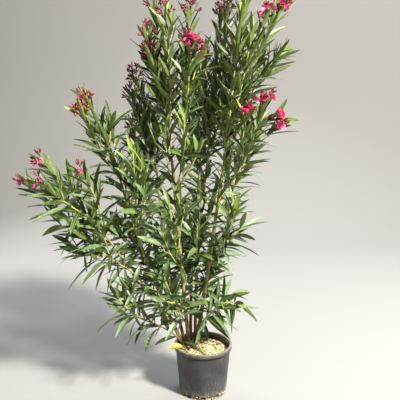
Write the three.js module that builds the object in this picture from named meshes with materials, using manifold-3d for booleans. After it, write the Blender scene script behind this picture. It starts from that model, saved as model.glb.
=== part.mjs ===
// A potted oleander shrub: a round nursery pot filled with gritty potting mix, seven canes that rise
// from one root crown, the boughs that fork from them, and leafy, blossoming masses of foliage.
// Millimetres, +Z up. The origin is the middle of the pot's flat underside, and -Y is the front.

import * as THREE from "three";
import { mergeVertices } from "three/addons/utils/BufferGeometryUtils.js";
import Module from "manifold-3d";

const wasm = await Module();
wasm.setup();

// Edges shorter than this are closed up
const FINEST = 0.05;

// Gap between pieces that touch
const GAP = 0.3;

const POT = {
  height: 270, rimRadius: 160, bodyTopRadius: 150, footRadius: 130, wall: 3, floor: 4,
  lipHeight: 24, lipBand: 19, plinthHeight: 16, plinthInset: 4, sides: 32,
};
const DRAIN = { count: 10, width: 24, height: 20, depth: 16 };

const SOIL = { wallLevel: 226, crownLevel: 240, crownRadius: 78, slopeLength: 110, rings: 4, sides: 24 };

// The root crown, where the canes leave the soil
const CROWN = new THREE.Vector2(-70, 42);

const LIMB = { sides: 6, steps: 6, flare: 0.35, flareHeight: 40, sunk: 12 };

// foot and tip are the ends of a cane's axis, bow moves its middle sideways, girth holds both radii
const CANES = {
  cane_left: { foot: [-76, 18], tip: [-160, -32, 1270], bow: [-2, -8], girth: [11, 8] },
  cane_right: { foot: [-40, 36], tip: [104, 2, 1235], bow: [2, -6], girth: [12, 8.4] },
  cane_middle: { foot: [-43, 68], tip: [14, 104, 1190], bow: [-16, 10], girth: [10, 7] },
  cane_far_left: { foot: [-103, 34], tip: [-412, -60, 1130], bow: [-22, -4], girth: [10.5, 7] },
  cane_back_left: { foot: [-100, 65], tip: [-246, 128, 1120], bow: [-18, 10], girth: [9.5, 6.4] },
  cane_back: { foot: [-70, 84], tip: [-30, 262, 1080], bow: [-12, 22], girth: [10, 6.4] },
  cane_sucker: { foot: [-100, 2], tip: [-296, -90, 432], bow: [38, 18], girth: [4.8, 3.6] },
};

// A bough leaves the side of its parent limb at the given share of that limb's length
const BOUGHS = {
  bough_fork_left: {
    on: "cane_left", at: 0.86, tip: [-98, -28, 1330], bow: [12, 0], girth: [6.6, 5.6],
  },
  bough_fork_right: {
    on: "cane_right", at: 0.86, tip: [196, -44, 1250], bow: [14, -4], girth: [6.6, 5.6],
  },
  bough_flare: {
    on: "cane_right", at: 0.72, tip: [170, 66, 1390], bow: [10, 16], girth: [7, 5.6],
  },
  bough_low_left: {
    on: "cane_far_left", at: 0.12, tip: [-430, -116, 800], bow: [-4, -6], girth: [7.8, 5.4],
  },
  bough_low_back_left: {
    on: "cane_back_left", at: 0.2, tip: [-300, 270, 860], bow: [-10, 22], girth: [7, 5.2],
  },
  bough_back_right: {
    on: "cane_back", at: 0.2, tip: [150, 236, 950], bow: [24, 16], girth: [7.2, 5.4],
  },
};

// One row for each mass of foliage: the limb it grows on and the share along it, the tip of its
// leading shoot, how many shoots it has, how far apart they stand, what blossom it bears, and on how
// many of its shoots, from the leading one on.
const MASSES = {
  mass_left_blossom: {
    on: "cane_far_left", at: 1, tip: [-560, -118, 1560], shoots: 4, spread: 72, seed: 11,
    blossom: "open", heads: 2,
  },
  mass_low_left_blossom: {
    on: "bough_low_left", at: 1, tip: [-752, -205, 1252], shoots: 5, spread: 165, seed: 229,
    blossom: "open", heads: 4,
  },
  mass_left_shoulder: {
    on: "cane_back_left", at: 1, tip: [-350, 116, 1680], shoots: 4, spread: 95, seed: 43,
    blossom: "buds", heads: 2,
  },
  mass_left_top: {
    on: "cane_left", at: 1, tip: [-240, -60, 2000], shoots: 4, spread: 85, seed: 183,
    blossom: "buds", heads: 4,
  },
  mass_middle_top: {
    on: "bough_fork_left", at: 1, tip: [-68, -30, 1985], shoots: 4, spread: 85, seed: 15,
    blossom: "mixed", heads: 4,
  },
  mass_centre_top: {
    on: "cane_middle", at: 1, tip: [92, 124, 2000], shoots: 4, spread: 85, seed: 16,
    blossom: "buds", heads: 2,
  },
  mass_right_top: {
    on: "cane_right", at: 1, tip: [206, -5, 2110], shoots: 4, spread: 80, seed: 162,
    blossom: "buds", heads: 2,
  },
  mass_right_flare: {
    on: "bough_flare", at: 1, tip: [400, 118, 2050], shoots: 4, spread: 90, seed: 18,
    blossom: "open", heads: 2,
  },
  mass_right_blossom: {
    on: "bough_fork_right", at: 1, tip: [297, -104, 1545], shoots: 4, spread: 75, seed: 558,
    blossom: "open", heads: 4,
  },
  mass_back_top: {
    on: "cane_back", at: 1, tip: [-40, 340, 1800], shoots: 4, spread: 105, seed: 50,
    blossom: "mixed", heads: 3,
  },
  mass_back_right: {
    on: "bough_back_right", at: 1, tip: [265, 320, 1560], shoots: 4, spread: 100, seed: 21,
    blossom: "open", heads: 2,
  },
  mass_back_left: {
    on: "bough_low_back_left", at: 1, tip: [-410, 365, 1420], shoots: 4, spread: 105, seed: 22,
    blossom: "mixed", heads: 2,
  },
  mass_sucker: {
    on: "cane_sucker", at: 1, tip: [-450, -180, 620], shoots: 2, spread: 60, seed: 23,
    blossom: "none", heads: 0,
  },
  mass_left_drape: {
    on: "bough_low_left", at: 0.8, tip: [-625, -250, 990], shoots: 3, spread: 85, seed: 162,
    blossom: "none", heads: 0,
  },
  mass_left_inner: {
    on: "cane_far_left", at: 0.4, tip: [-400, 60, 1010], shoots: 4, spread: 90, seed: 55,
    blossom: "none", heads: 0,
  },
  mass_left_waist: {
    on: "cane_far_left", at: 0.7, tip: [-340, -190, 1330], shoots: 4, spread: 85, seed: 26,
    blossom: "none", heads: 0,
  },
  mass_front_low: {
    on: "cane_left", at: 0.14, tip: [-200, -190, 720], shoots: 4, spread: 85, seed: 27,
    blossom: "none", heads: 0,
  },
  mass_front_waist: {
    on: "cane_left", at: 0.42, tip: [-170, -190, 1090], shoots: 4, spread: 90, seed: 28,
    blossom: "none", heads: 0,
  },
  mass_front_high: {
    on: "cane_left", at: 0.76, tip: [-90, -170, 1480], shoots: 4, spread: 80, seed: 35,
    blossom: "none", heads: 0,
  },
  mass_middle_waist: {
    on: "cane_middle", at: 0.4, tip: [-20, -60, 1120], shoots: 4, spread: 80, seed: 29,
    blossom: "none", heads: 0,
  },
  mass_right_waist: {
    on: "cane_right", at: 0.46, tip: [165, -80, 1060], shoots: 4, spread: 70, seed: 30,
    blossom: "none", heads: 0,
  },
  mass_right_low: {
    on: "cane_right", at: 0.14, tip: [100, -90, 560], shoots: 4, spread: 65, seed: 31,
    blossom: "none", heads: 0,
  },
  mass_centre_low: {
    on: "cane_middle", at: 0.18, tip: [70, 180, 760], shoots: 4, spread: 85, seed: 32,
    blossom: "none", heads: 0,
  },
  mass_back_low: {
    on: "cane_back", at: 0.3, tip: [-130, 320, 910], shoots: 4, spread: 95, seed: 63,
    blossom: "none", heads: 0,
  },
  mass_back_left_low: {
    on: "cane_back_left", at: 0.12, tip: [-280, 170, 690], shoots: 4, spread: 85, seed: 64,
    blossom: "none", heads: 0,
  },
};

// sideFaces are the faces that side shoots leave the leading one by, from its lowest level up
const TWIG = {
  stemRadius: 5.6, sideRadius: 3.8, tipRadius: 2.4, levelHeight: 8, sideFaces: [0, 2, 2, 1],
};
// How shoots run, in shares of their length: the leading one keeps its first heading for straight, and
// sinks by dip where it leaves the side of a limb. A side shoot leans out by bulge of its spread,
// rises by rise, and ends short of the leading one's tip by a part of short to short + shortRange.
const RUN = {
  straight: 0.45, dip: 0.25, bulge: 0.8, rise: 0.25, spreadJitter: 0.22, short: 0.08, shortRange: 0.26,
};
const LEAF = {
  length: 190, width: 43, thickness: 3, widest: 0.46, arch: 0.045, droop: 0.02, spacing: 82, leafy: 0.92,
  tipAngle: 26, shortest: 0.66, tries: [1, 0.84, 0.7, 0.58],
};
// The lowest leaves of a shoot stand this far from it: wide open low on the plant, closer high up
const OPEN_ANGLE = { low: 82, high: 54, from: 700, to: 1500 };
// Levels of blossom above the last leaves: height over the shoot's tip, lean from the shoot, and kind
const OPEN_BLOSSOM = [
  { height: 14, lean: 60, kind: "flower" },
  { height: 36, lean: 30, kind: "bud" },
];
const BUD_BLOSSOM = [{ height: 18, lean: 40, kind: "bud" }];
const FLOWER = { length: 38, radius: 23, lip: 3, throat: 9 };
const BUD = { length: 30, radius: 4.6, tipHeight: 62 };
// A leaf keeps this many times as far from another mass's shoots as from its own
const OWN_SPACE = 0.8;
// How far shoots keep from the shoots of other masses and from limbs, and leaves from limbs
const CLEARANCE = { shoot: 9, leaf: 2 };

const COLOURS = {
  pot: 0x2e2f33, soil: 0xc9ab7c, bark: 0x6b5238, bough: 0x7d8142, foliage: 0x4a6a34,
};

// Small helpers

const UP = new THREE.Vector3(0, 0, 1);
const radians = THREE.MathUtils.degToRad;
const lerp = THREE.MathUtils.lerp;
const smoothstep = THREE.MathUtils.smoothstep;

// Repeatable random numbers from 0 to 1
function seeded(seed) {
  let state = Math.imul(seed, 7919) >>> 0;
  const next = () => {
    state = (Math.imul(state, 1664525) + 1013904223) >>> 0;
    return state / 4294967296;
  };
  next();
  return next;
}

// A value moved up or down by at most spread
const jitter = (random, spread) => (random() * 2 - 1) * spread;

// A solid from a closed geometry, whose faces first have to share their corners
function solidFrom(geometry) {
  geometry.deleteAttribute("normal");
  geometry.deleteAttribute("uv");
  const merged = mergeVertices(geometry, 1e-3);
  const vertProperties = new Float32Array(merged.getAttribute("position").array);
  const triVerts = new Uint32Array(merged.getIndex().array);
  return new wasm.Manifold(new wasm.Mesh({ numProp: 3, vertProperties, triVerts }));
}

// A solid from its corners and the triangles between them
function solidOf(corners, triangles) {
  const geometry = new THREE.BufferGeometry().setFromPoints(corners);
  geometry.setIndex(triangles.flat());
  return solidFrom(geometry);
}

// The largest body of a solid, without the scraps that a cut leaves
function largestBody(solid) {
  return solid.decompose().sort((a, b) => b.volume() - a.volume())[0];
}

// A three.js mesh of a solid's largest body
function meshOf(name, solid, colour, roughness) {
  const { vertProperties, triVerts } = largestBody(solid).simplify(FINEST).getMesh();
  const geometry = new THREE.BufferGeometry();
  geometry.setAttribute("position", new THREE.BufferAttribute(vertProperties, 3));
  geometry.setIndex(new THREE.BufferAttribute(triVerts, 1));
  const mesh = new THREE.Mesh(
    geometry,
    new THREE.MeshStandardMaterial({ color: colour, roughness, metalness: 0, flatShading: true }),
  );
  mesh.name = name;
  return mesh;
}

// Any unit vector square to the given one
function squareTo(direction) {
  const other = Math.abs(direction.z) < 0.9 ? UP : new THREE.Vector3(1, 0, 0);
  return new THREE.Vector3().crossVectors(direction, other).normalize();
}

// A smooth path from start to tip that leaves start towards bend
class Path {
  constructor(start, bend, tip) {
    this.curve = new THREE.QuadraticBezierCurve3(start, bend, tip);
    this.length = this.curve.getLength();
  }

  at(share) {
    return this.curve.getPoint(share);
  }

  heading(share) {
    return this.curve.getTangent(share);
  }

  points(steps) {
    return Array.from({ length: steps + 1 }, (_, i) => this.at(i / steps));
  }
}

// Corners round a centre, square to an axis. right and upper span the ring's plane.
function ringAround(centre, right, upper, radius, sides, turn) {
  return Array.from({ length: sides }, (_, i) => {
    const angle = turn + (2 * Math.PI * i) / sides;
    return centre.clone()
      .addScaledVector(right, radius * Math.cos(angle))
      .addScaledVector(upper, radius * Math.sin(angle));
  });
}

// The outside of a growing limb or shoot: its corners, and the triangles between them
class Skin {
  constructor() {
    this.corners = [];
    this.triangles = [];
  }

  // Adds corners, and gives their numbers back
  add(points) {
    const first = this.corners.length;
    this.corners.push(...points);
    return points.map((_, i) => first + i);
  }

  // Joins two rings with as many corners each
  join(low, high) {
    low.forEach((_, i) => {
      const j = (i + 1) % low.length;
      this.triangles.push([low[i], low[j], high[j]], [low[i], high[j], high[i]]);
    });
  }

  // Closes a ring with a point beyond it
  close(ring, tip) {
    const [end] = this.add([tip]);
    ring.forEach((_, i) => this.triangles.push([ring[i], ring[(i + 1) % ring.length], end]));
  }

  // Closes the first ring, from behind
  closeFoot(ring, foot) {
    this.close([...ring].reverse(), foot);
  }

  // Grows a leaf, flower or bud out of the root triangle, through its sections to its tip
  grow(root, { sections, tip }) {
    let last = root;
    for (const section of sections) {
      const next = this.add(section);
      this.join(last, next);
      last = next;
    }
    this.close(last, tip);
  }

  solid() {
    return solidOf(this.corners, this.triangles);
  }
}

// A round bar along a path, with flat ends square to it. radiusAt gives its radius at each share.
function bar(path, shares, radiusAt, sides) {
  const skin = new Skin();
  let right = squareTo(path.heading(shares[0]));
  let last;
  for (const share of shares) {
    const heading = path.heading(share);
    right = right.clone().addScaledVector(heading, -right.dot(heading)).normalize();
    const upper = new THREE.Vector3().crossVectors(heading, right);
    const ring = skin.add(ringAround(path.at(share), right, upper, radiusAt(share), sides, 0));
    if (last) skin.join(last, ring);
    else skin.closeFoot(ring, path.at(share));
    last = ring;
  }
  skin.close(last, path.at(shares.at(-1)));
  return skin.solid();
}

// Shortest distance from a point to the segments between points
function distanceTo(point, points) {
  let best = Infinity;
  const closest = new THREE.Vector3();
  for (let i = 0; i + 1 < points.length; i++) {
    new THREE.Line3(points[i], points[i + 1]).closestPointToPoint(point, true, closest);
    best = Math.min(best, closest.distanceTo(point));
  }
  return best;
}

// The pot

// The hollow pot: a tapered wall, a rolled lip at the top and a plinth with drain slots at the foot
function potSolid() {
  const { height, rimRadius, bodyTopRadius, footRadius, wall, floor } = POT;
  const { lipHeight, lipBand, plinthHeight, plinthInset, sides } = POT;
  const lipFoot = height - lipHeight;
  const profile = [
    [0, 0],
    [footRadius - plinthInset, 0],
    [footRadius - plinthInset, plinthHeight - 2],
    [footRadius, plinthHeight + 2],
    [bodyTopRadius, lipFoot],
    [rimRadius - 1.5, lipFoot],
    [rimRadius, height - lipBand],
    [rimRadius - 1, height - 2],
    [rimRadius - 4, height],
    [bodyTopRadius - wall + 1, height - 1],
    [bodyTopRadius - wall - 1, height - 6],
    [footRadius - plinthInset - wall, floor + 4],
    [footRadius - plinthInset - wall - 4, floor],
    [0, floor],
  ];
  let pot = solidFrom(turned(profile, sides));
  for (let i = 0; i < DRAIN.count; i++) {
    pot = pot.subtract(drainSlot((2 * Math.PI * (i + 0.5)) / DRAIN.count));
  }
  return pot;
}

// The surface of revolution of a profile of radii and heights, upright
function turned(profile, sides) {
  const points = profile.map(([radius, z]) => new THREE.Vector2(radius, z));
  return new THREE.LatheGeometry(points, sides).rotateX(Math.PI / 2);
}

// A box that cuts one drain slot through the corner between the pot's wall and its floor
function drainSlot(angle) {
  const box = new THREE.BoxGeometry(DRAIN.depth * 2, DRAIN.width, DRAIN.height * 2);
  return solidFrom(box.translate(POT.footRadius + DRAIN.depth / 2, 0, 0).rotateZ(angle));
}

// Inner radius of the pot at a height
function innerRadius(z) {
  const low = { z: POT.floor + 4, radius: POT.footRadius - POT.plinthInset - POT.wall };
  const high = { z: POT.height - 6, radius: POT.bodyTopRadius - POT.wall - 1 };
  return lerp(low.radius, high.radius, (z - low.z) / (high.z - low.z));
}

// Height of the potting mix at a place: level round the canes, and lower towards the wall
function soilHeight(x, y) {
  const away = Math.hypot(x - CROWN.x, y - CROWN.y) - SOIL.crownRadius;
  return lerp(SOIL.crownLevel, SOIL.wallLevel, smoothstep(away, 0, SOIL.slopeLength));
}

// The potting mix fills the pot, clear of its wall and floor. The wall has flat facets, so the
// mix stays inside the circle that fits between them.
function soilSolid() {
  const inside = (z) => (innerRadius(z) - GAP) * Math.cos(Math.PI / POT.sides) - GAP;
  const bottom = POT.floor + GAP;
  const edge = inside(SOIL.wallLevel);
  const profile = [[0, bottom], [inside(bottom) - 8, bottom], [inside(bottom + 8), bottom + 8]];
  for (let k = SOIL.rings; k >= 0; k--) profile.push([(edge * k) / SOIL.rings, SOIL.wallLevel]);
  const mix = turned(profile, SOIL.sides);
  const position = mix.getAttribute("position");
  for (let i = 0; i < position.count; i++) {
    if (position.getZ(i) < SOIL.wallLevel - 1) continue;
    position.setZ(i, soilHeight(position.getX(i), position.getY(i)));
  }
  return solidFrom(mix);
}

// Canes and boughs

const limbs = {};

// The axis of a limb, bowed sideways at its middle
function limbPath(start, tip, bow) {
  const bend = start.clone().lerp(tip, 0.5).add(new THREE.Vector3(2 * bow[0], 2 * bow[1], 0));
  return new Path(start, bend, tip);
}

// A limb's radius at a share of its length, swollen where a cane meets the soil
function limbRadius(limb, share) {
  const flare = limb.flared ? LIMB.flare * Math.exp((-share * limb.path.length) / LIMB.flareHeight) : 0;
  return lerp(limb.girth[0], limb.girth[1], share) * (1 + flare);
}

// A limb's solid, or one that is larger all round by extra
function limbSolid(limb, extra = 0) {
  // A cane's first steps are short, so that the root flare keeps its curve
  const bunched = limb.flared ? 1.6 : 1;
  const shares = Array.from({ length: LIMB.steps + 1 }, (_, i) => (i / LIMB.steps) ** bunched);
  return bar(limb.path, shares, (share) => limbRadius(limb, share) + extra, LIMB.sides);
}

// Canes start below the top of the mix and are cut off flat just over it
function growCanes() {
  const level = SOIL.crownLevel + GAP;
  for (const [name, { foot, tip, bow, girth }] of Object.entries(CANES)) {
    const start = new THREE.Vector3(foot[0], foot[1], level - LIMB.sunk);
    const limb = { path: limbPath(start, new THREE.Vector3(...tip), bow), girth, flared: true };
    limb.solid = limbSolid(limb).trimByPlane([0, 0, 1], level);
    limbs[name] = limb;
  }
}

// Boughs start on their parent's axis and are cut clear of its bark
function growBoughs() {
  for (const [name, { on, at, tip, bow, girth }] of Object.entries(BOUGHS)) {
    const parent = limbs[on];
    const path = limbPath(parent.path.at(at), new THREE.Vector3(...tip), bow);
    const limb = { path, girth, flared: false };
    limb.solid = largestBody(limbSolid(limb).subtract(limbSolid(parent, GAP)));
    limbs[name] = limb;
  }
}

// Foliage

const masses = {};

// A shoot is three-sided. Each of its levels is a short stretch between two rings, whose three
// faces can each carry a leaf or a side shoot. The frame turns a sixth of a circle at each level.
class Shoot {
  constructor(path, radius, right, turn) {
    this.path = path;
    this.radius = radius;
    this.line = path.points(4);
    this.right = right;
    this.turn = turn;
    this.sides = [];
    this.foot = this.ring(path.at(0), path.heading(0), radius);
    const leafy = LEAF.leafy * path.length;
    const count = Math.max(2, Math.round(leafy / LEAF.spacing));
    this.levels = Array.from({ length: count }, (_, k) => {
      const height = (k + 0.3) / count;
      return { height, ...this.level(1 - (leafy * (1 - height)) / path.length) };
    });
  }

  // Three corners round a centre, in the frame that the shoot has reached
  ring(centre, heading, radius) {
    this.right = this.right.clone().addScaledVector(heading, -this.right.dot(heading)).normalize();
    const upper = new THREE.Vector3().crossVectors(heading, this.right);
    return ringAround(centre, this.right, upper, radius, 3, this.turn);
  }

  radiusAt(share) {
    return lerp(this.radius, TWIG.tipRadius, share);
  }

  // The two rings of a level that starts at a share of the path
  level(share) {
    const above = Math.min(1, share + TWIG.levelHeight / this.path.length);
    this.turn -= Math.PI / 3;
    return {
      axis: this.path.heading(share),
      low: this.ring(this.path.at(share), this.path.heading(share), this.radiusAt(share)),
      high: this.ring(this.path.at(above), this.path.heading(above), this.radiusAt(above)),
    };
  }

  // The two rings of a level of blossom, at a height over the tip
  levelOver(height) {
    const axis = this.path.heading(1);
    const over = (more) => this.path.at(1).addScaledVector(axis, height + more);
    this.turn -= Math.PI / 3;
    return {
      axis,
      low: this.ring(over(0), axis, TWIG.tipRadius),
      high: this.ring(over(TWIG.levelHeight), axis, TWIG.tipRadius),
    };
  }
}

// The triangle on one face of a level that a leaf, flower or side shoot grows out of
const rootOn = ({ low, high }, face) => [high[face], low[face], high[(face + 1) % 3]];

const centreOf = (corners) =>
  corners.reduce((sum, corner) => sum.add(corner), new THREE.Vector3()).divideScalar(corners.length);

// The way a face of a shoot looks, square to the shoot
function outwardOf(root, axis) {
  const face = new THREE.Triangle(...root).getNormal(new THREE.Vector3());
  return face.addScaledVector(axis, -face.dot(axis)).normalize();
}

// The leading shoot of a mass runs on from its limb. Its side shoots grow out of its lowest levels,
// one from each, lean out and turn up beside it.
function growShoots(name, { on, at, tip, shoots, spread, seed }) {
  const random = seeded(seed);
  const limb = limbs[on];
  const reach = new THREE.Vector3(...tip);
  const start = limb.path.at(at);
  const heading = limb.path.heading(at);
  if (at === 1) start.addScaledVector(heading, GAP);
  const length = start.distanceTo(reach);
  const away = new THREE.Vector3().subVectors(reach, start).normalize();
  const first = at === 1 ? heading : away.clone().addScaledVector(UP, -RUN.dip).normalize();
  const path = new Path(start, start.clone().addScaledVector(first, RUN.straight * length), reach);
  const leader = new Shoot(path, TWIG.stemRadius, squareTo(first), random() * 2 * Math.PI);
  masses[name].shoots.push(leader);
  for (let i = 0; i + 1 < shoots; i++) {
    const level = Math.min(i, leader.levels.length - 1);
    const face = TWIG.sideFaces[i];
    const root = rootOn(leader.levels[level], face);
    const foot = centreOf(root);
    const outward = outwardOf(root, leader.levels[level].axis);
    const out = spread * (1 + jitter(random, RUN.spreadJitter));
    const back = length * (RUN.short + RUN.shortRange * random());
    const end = reach.clone().addScaledVector(outward, out).addScaledVector(away, -back);
    const bend = foot.clone()
      .addScaledVector(outward, RUN.bulge * out)
      .addScaledVector(away, RUN.rise * length);
    const right = new THREE.Vector3().subVectors(root[0], foot);
    const side = new Shoot(new Path(foot, bend, end), TWIG.sideRadius, right, 0);
    if (!shootIsClear(side, name)) continue;
    leader.sides.push({ level, face, shoot: side });
    masses[name].shoots.push(side);
  }
}

// True where a side shoot keeps clear of every limb and of the shoots of other masses
function shootIsClear(shoot, name) {
  return shoot.line.slice(1).every(
    (point) => clearOfLimbs(point, CLEARANCE.shoot) && otherShoots(name).every(
      (other) => distanceTo(point, other.line) > CLEARANCE.shoot,
    ),
  );
}

function otherShoots(name) {
  return Object.entries(masses).flatMap(([other, { shoots }]) => (other === name ? [] : shoots));
}

// True where points lie in the space of their own mass, by their distance from the shoots
function inOwnSpace(points, name) {
  const others = otherShoots(name);
  return points.every((point) => {
    const own = Math.min(...masses[name].shoots.map((shoot) => distanceTo(point, shoot.line)));
    return others.every((shoot) => distanceTo(point, shoot.line) > own * OWN_SPACE);
  });
}

// True where a point is clear of every limb
function clearOfLimbs(point, margin) {
  return Object.values(limbs).every((limb) => distanceTo(point, limb.line) > limb.girth[0] + margin);
}

// Directions for something that grows out of a shoot: along it, to its right and up from it
function growthFrame(axis, outward, lean, roll) {
  const along = axis.clone().multiplyScalar(Math.cos(lean)).addScaledVector(outward, Math.sin(lean));
  const right = new THREE.Vector3().crossVectors(axis, outward).applyAxisAngle(along, roll);
  return { along, right, upper: new THREE.Vector3().crossVectors(along, right) };
}

// A leaf: a section of two sides and a keel where it is widest, and its tip
function leafShape(root, { along, right, upper }, length) {
  const half = (LEAF.width * length) / LEAF.length / 2;
  const thickness = (LEAF.thickness * length) / LEAF.length;
  const middle = root.clone()
    .addScaledVector(along, LEAF.widest * length)
    .addScaledVector(upper, LEAF.arch * length);
  return {
    sections: [[
      middle.clone().addScaledVector(right, -half),
      middle.clone().addScaledVector(upper, -thickness),
      middle.clone().addScaledVector(right, half),
    ]],
    tip: root.clone().addScaledVector(along, length).addScaledVector(upper, -LEAF.droop * length),
  };
}

// A ring of three corners square to a growth's direction, for a flower or a bud
function threeAround(root, { along, right, upper }, depth, radius, turn) {
  return ringAround(root.clone().addScaledVector(along, depth), right, upper, radius, 3, radians(turn));
}

// An open flower: a funnel whose lip has six corners, with a sunk throat
function flowerShape(root, frame) {
  const { length, radius, lip, throat } = FLOWER;
  return {
    sections: [
      threeAround(root, frame, length, radius, 150),
      threeAround(root, frame, length + lip, radius, 90),
    ],
    tip: root.clone().addScaledVector(frame.along, length - throat),
  };
}

// A closed bud: a spindle
function budShape(root, frame) {
  return {
    sections: [threeAround(root, frame, BUD.length * 0.55, BUD.radius, 150)],
    tip: root.clone().addScaledVector(frame.along, BUD.length),
  };
}

// Points of a growth that have to lie in its own space
function probesOf(root, { sections, tip }) {
  const corners = sections.flat();
  return [
    tip,
    ...corners,
    ...corners.map((corner) => corner.clone().lerp(tip, 0.5)),
    ...corners.map((corner) => corner.clone().lerp(root, 0.45)),
  ];
}

// A growth as a solid of its own, to find out whether it would cut into something
function growthSolid(rootCorners, shape) {
  const skin = new Skin();
  const root = skin.add(rootCorners);
  skin.triangles.push([root[2], root[1], root[0]]);
  skin.grow(root, shape);
  return skin.solid();
}

// Everything that a new growth may not cut into. Each thing's owner is the shoot it belongs to.
const standing = [];

function stand(solid, owner) {
  standing.push({ solid, owner, box: boxOf(solid) });
}

function boxOf(solid) {
  const { min, max } = solid.boundingBox();
  return new THREE.Box3(new THREE.Vector3(...min), new THREE.Vector3(...max));
}

// True where a solid cuts into something that stands there already, other than its own shoot
function crosses(solid, shoot) {
  const box = boxOf(solid);
  return standing
    .filter((other) => other.owner !== shoot && other.box.intersectsBox(box))
    .some((other) => !solid.intersect(other.solid).isEmpty());
}

// A leaf of a whorl: wide open low on the shoot, and close to it at the tip
function leafAt({ height, low }, random) {
  const longest = LEAF.length * lerp(1, LEAF.shortest, Math.abs(height - 0.45) / 0.55);
  const raised = smoothstep(low[0].z, OPEN_ANGLE.from, OPEN_ANGLE.to);
  const open = lerp(OPEN_ANGLE.low, OPEN_ANGLE.high, raised);
  return {
    kind: "leaf",
    length: longest * (1 + jitter(random, 0.1)),
    lean: radians(lerp(open, LEAF.tipAngle, height ** 0.8) + jitter(random, 9)),
    roll: radians(jitter(random, 24)),
  };
}

// The shape of a growth on its root triangle, shorter where it has to be, or none where none fits
function fittingShape(name, shoot, corners, axis, { kind, lean, roll, length }) {
  const root = centreOf(corners);
  const frame = growthFrame(axis, outwardOf(corners, axis), lean, roll);
  const shapes = {
    leaf: () => LEAF.tries.map((shorter) => leafShape(root, frame, length * shorter)),
    flower: () => [flowerShape(root, frame)],
    bud: () => [budShape(root, frame)],
  };
  const fits = (shape) =>
    inOwnSpace(probesOf(root, shape), name) && !crosses(growthSolid(corners, shape), shoot);
  const fitting = shapes[kind]().find(fits);
  if (fitting) stand(growthSolid(corners, fitting), null);
  return fitting;
}

// The levels of blossom over a shoot, by its number in its mass. In a mixed mass only the first side
// shoot is in flower.
function blossomLevels({ blossom, heads }, number) {
  if (number >= heads) return [];
  const open = blossom === "open" || (blossom === "mixed" && number === 1);
  return open ? OPEN_BLOSSOM : BUD_BLOSSOM;
}

// Grows one shoot on a foot of three corners of the skin, with all that it carries. growthOn gives
// what a face of a level carries: another shoot, or a leaf, flower or bud.
function growShoot(skin, foot, name, shoot, random) {
  let last = foot;
  const growLevel = ({ low, high, axis }, growthOn) => {
    const [lowRing, highRing] = [skin.add(low), skin.add(high)];
    skin.join(last, lowRing);
    for (const face of [0, 1, 2]) {
      const next = (face + 1) % 3;
      const root = [highRing[face], lowRing[face], highRing[next]];
      skin.triangles.push([lowRing[face], lowRing[next], highRing[next]]);
      const growth = growthOn(face);
      if (growth.shoot) growShoot(skin, root, name, growth.shoot, random);
      else {
        const shape = fittingShape(name, shoot, rootOn({ low, high }, face), axis, growth);
        if (shape) skin.grow(root, shape);
        else skin.triangles.push([lowRing[face], highRing[next], highRing[face]]);
      }
    }
    last = highRing;
  };
  shoot.levels.forEach((level, k) => {
    growLevel(level, (face) => {
      const side = shoot.sides.find((found) => found.level === k && found.face === face);
      return side ?? leafAt(level, random);
    });
  });
  const levels = blossomLevels(MASSES[name], masses[name].shoots.indexOf(shoot));
  for (const { height, lean, kind } of levels) {
    const leaning = () => radians(lean + jitter(random, 8));
    growLevel(shoot.levelOver(height), () => ({ kind, lean: leaning(), roll: 0 }));
  }
  const beyond = levels.length ? BUD.tipHeight : TWIG.levelHeight;
  skin.close(last, shoot.path.at(1).addScaledVector(shoot.path.heading(1), beyond));
}

// One mass: its leading shoot and all that grows on it, cut clear of a limb whose side it leaves
function massSolid(name, { on, at, seed }) {
  const leader = masses[name].shoots[0];
  const skin = new Skin();
  const foot = skin.add(leader.foot);
  skin.closeFoot(foot, leader.path.at(0));
  growShoot(skin, foot, name, leader, seeded(seed + 500));
  return at === 1 ? skin.solid() : skin.solid().subtract(limbSolid(limbs[on], GAP));
}

// The whole plant in its pot

const plant = new THREE.Group();
plant.add(meshOf("pot", potSolid(), COLOURS.pot, 0.5));
plant.add(meshOf("soil", soilSolid(), COLOURS.soil, 0.95));

growCanes();
growBoughs();
for (const limb of Object.values(limbs)) limb.line = limb.path.points(LIMB.steps);
for (const [name, limb] of Object.entries(limbs)) {
  plant.add(meshOf(name, limb.solid, name.startsWith("cane") ? COLOURS.bark : COLOURS.bough, 0.8));
}

for (const name of Object.keys(MASSES)) masses[name] = { shoots: [] };
for (const [name, row] of Object.entries(MASSES)) growShoots(name, row);
for (const limb of Object.values(limbs)) stand(limbSolid(limb, CLEARANCE.leaf), limb);
for (const { shoots } of Object.values(masses)) {
  for (const shoot of shoots) {
    stand(bar(shoot.path, [0, 0.25, 0.5, 0.75, 1], () => shoot.radius, 3), shoot);
  }
}
for (const [name, row] of Object.entries(MASSES)) {
  plant.add(meshOf(name, massSolid(name, row), COLOURS.foliage, 0.6));
}

export default plant;
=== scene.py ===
import math
from collections import namedtuple
from types import SimpleNamespace

import bmesh
import bpy
import numpy as np
from mathutils import Matrix, Vector, noise


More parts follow.
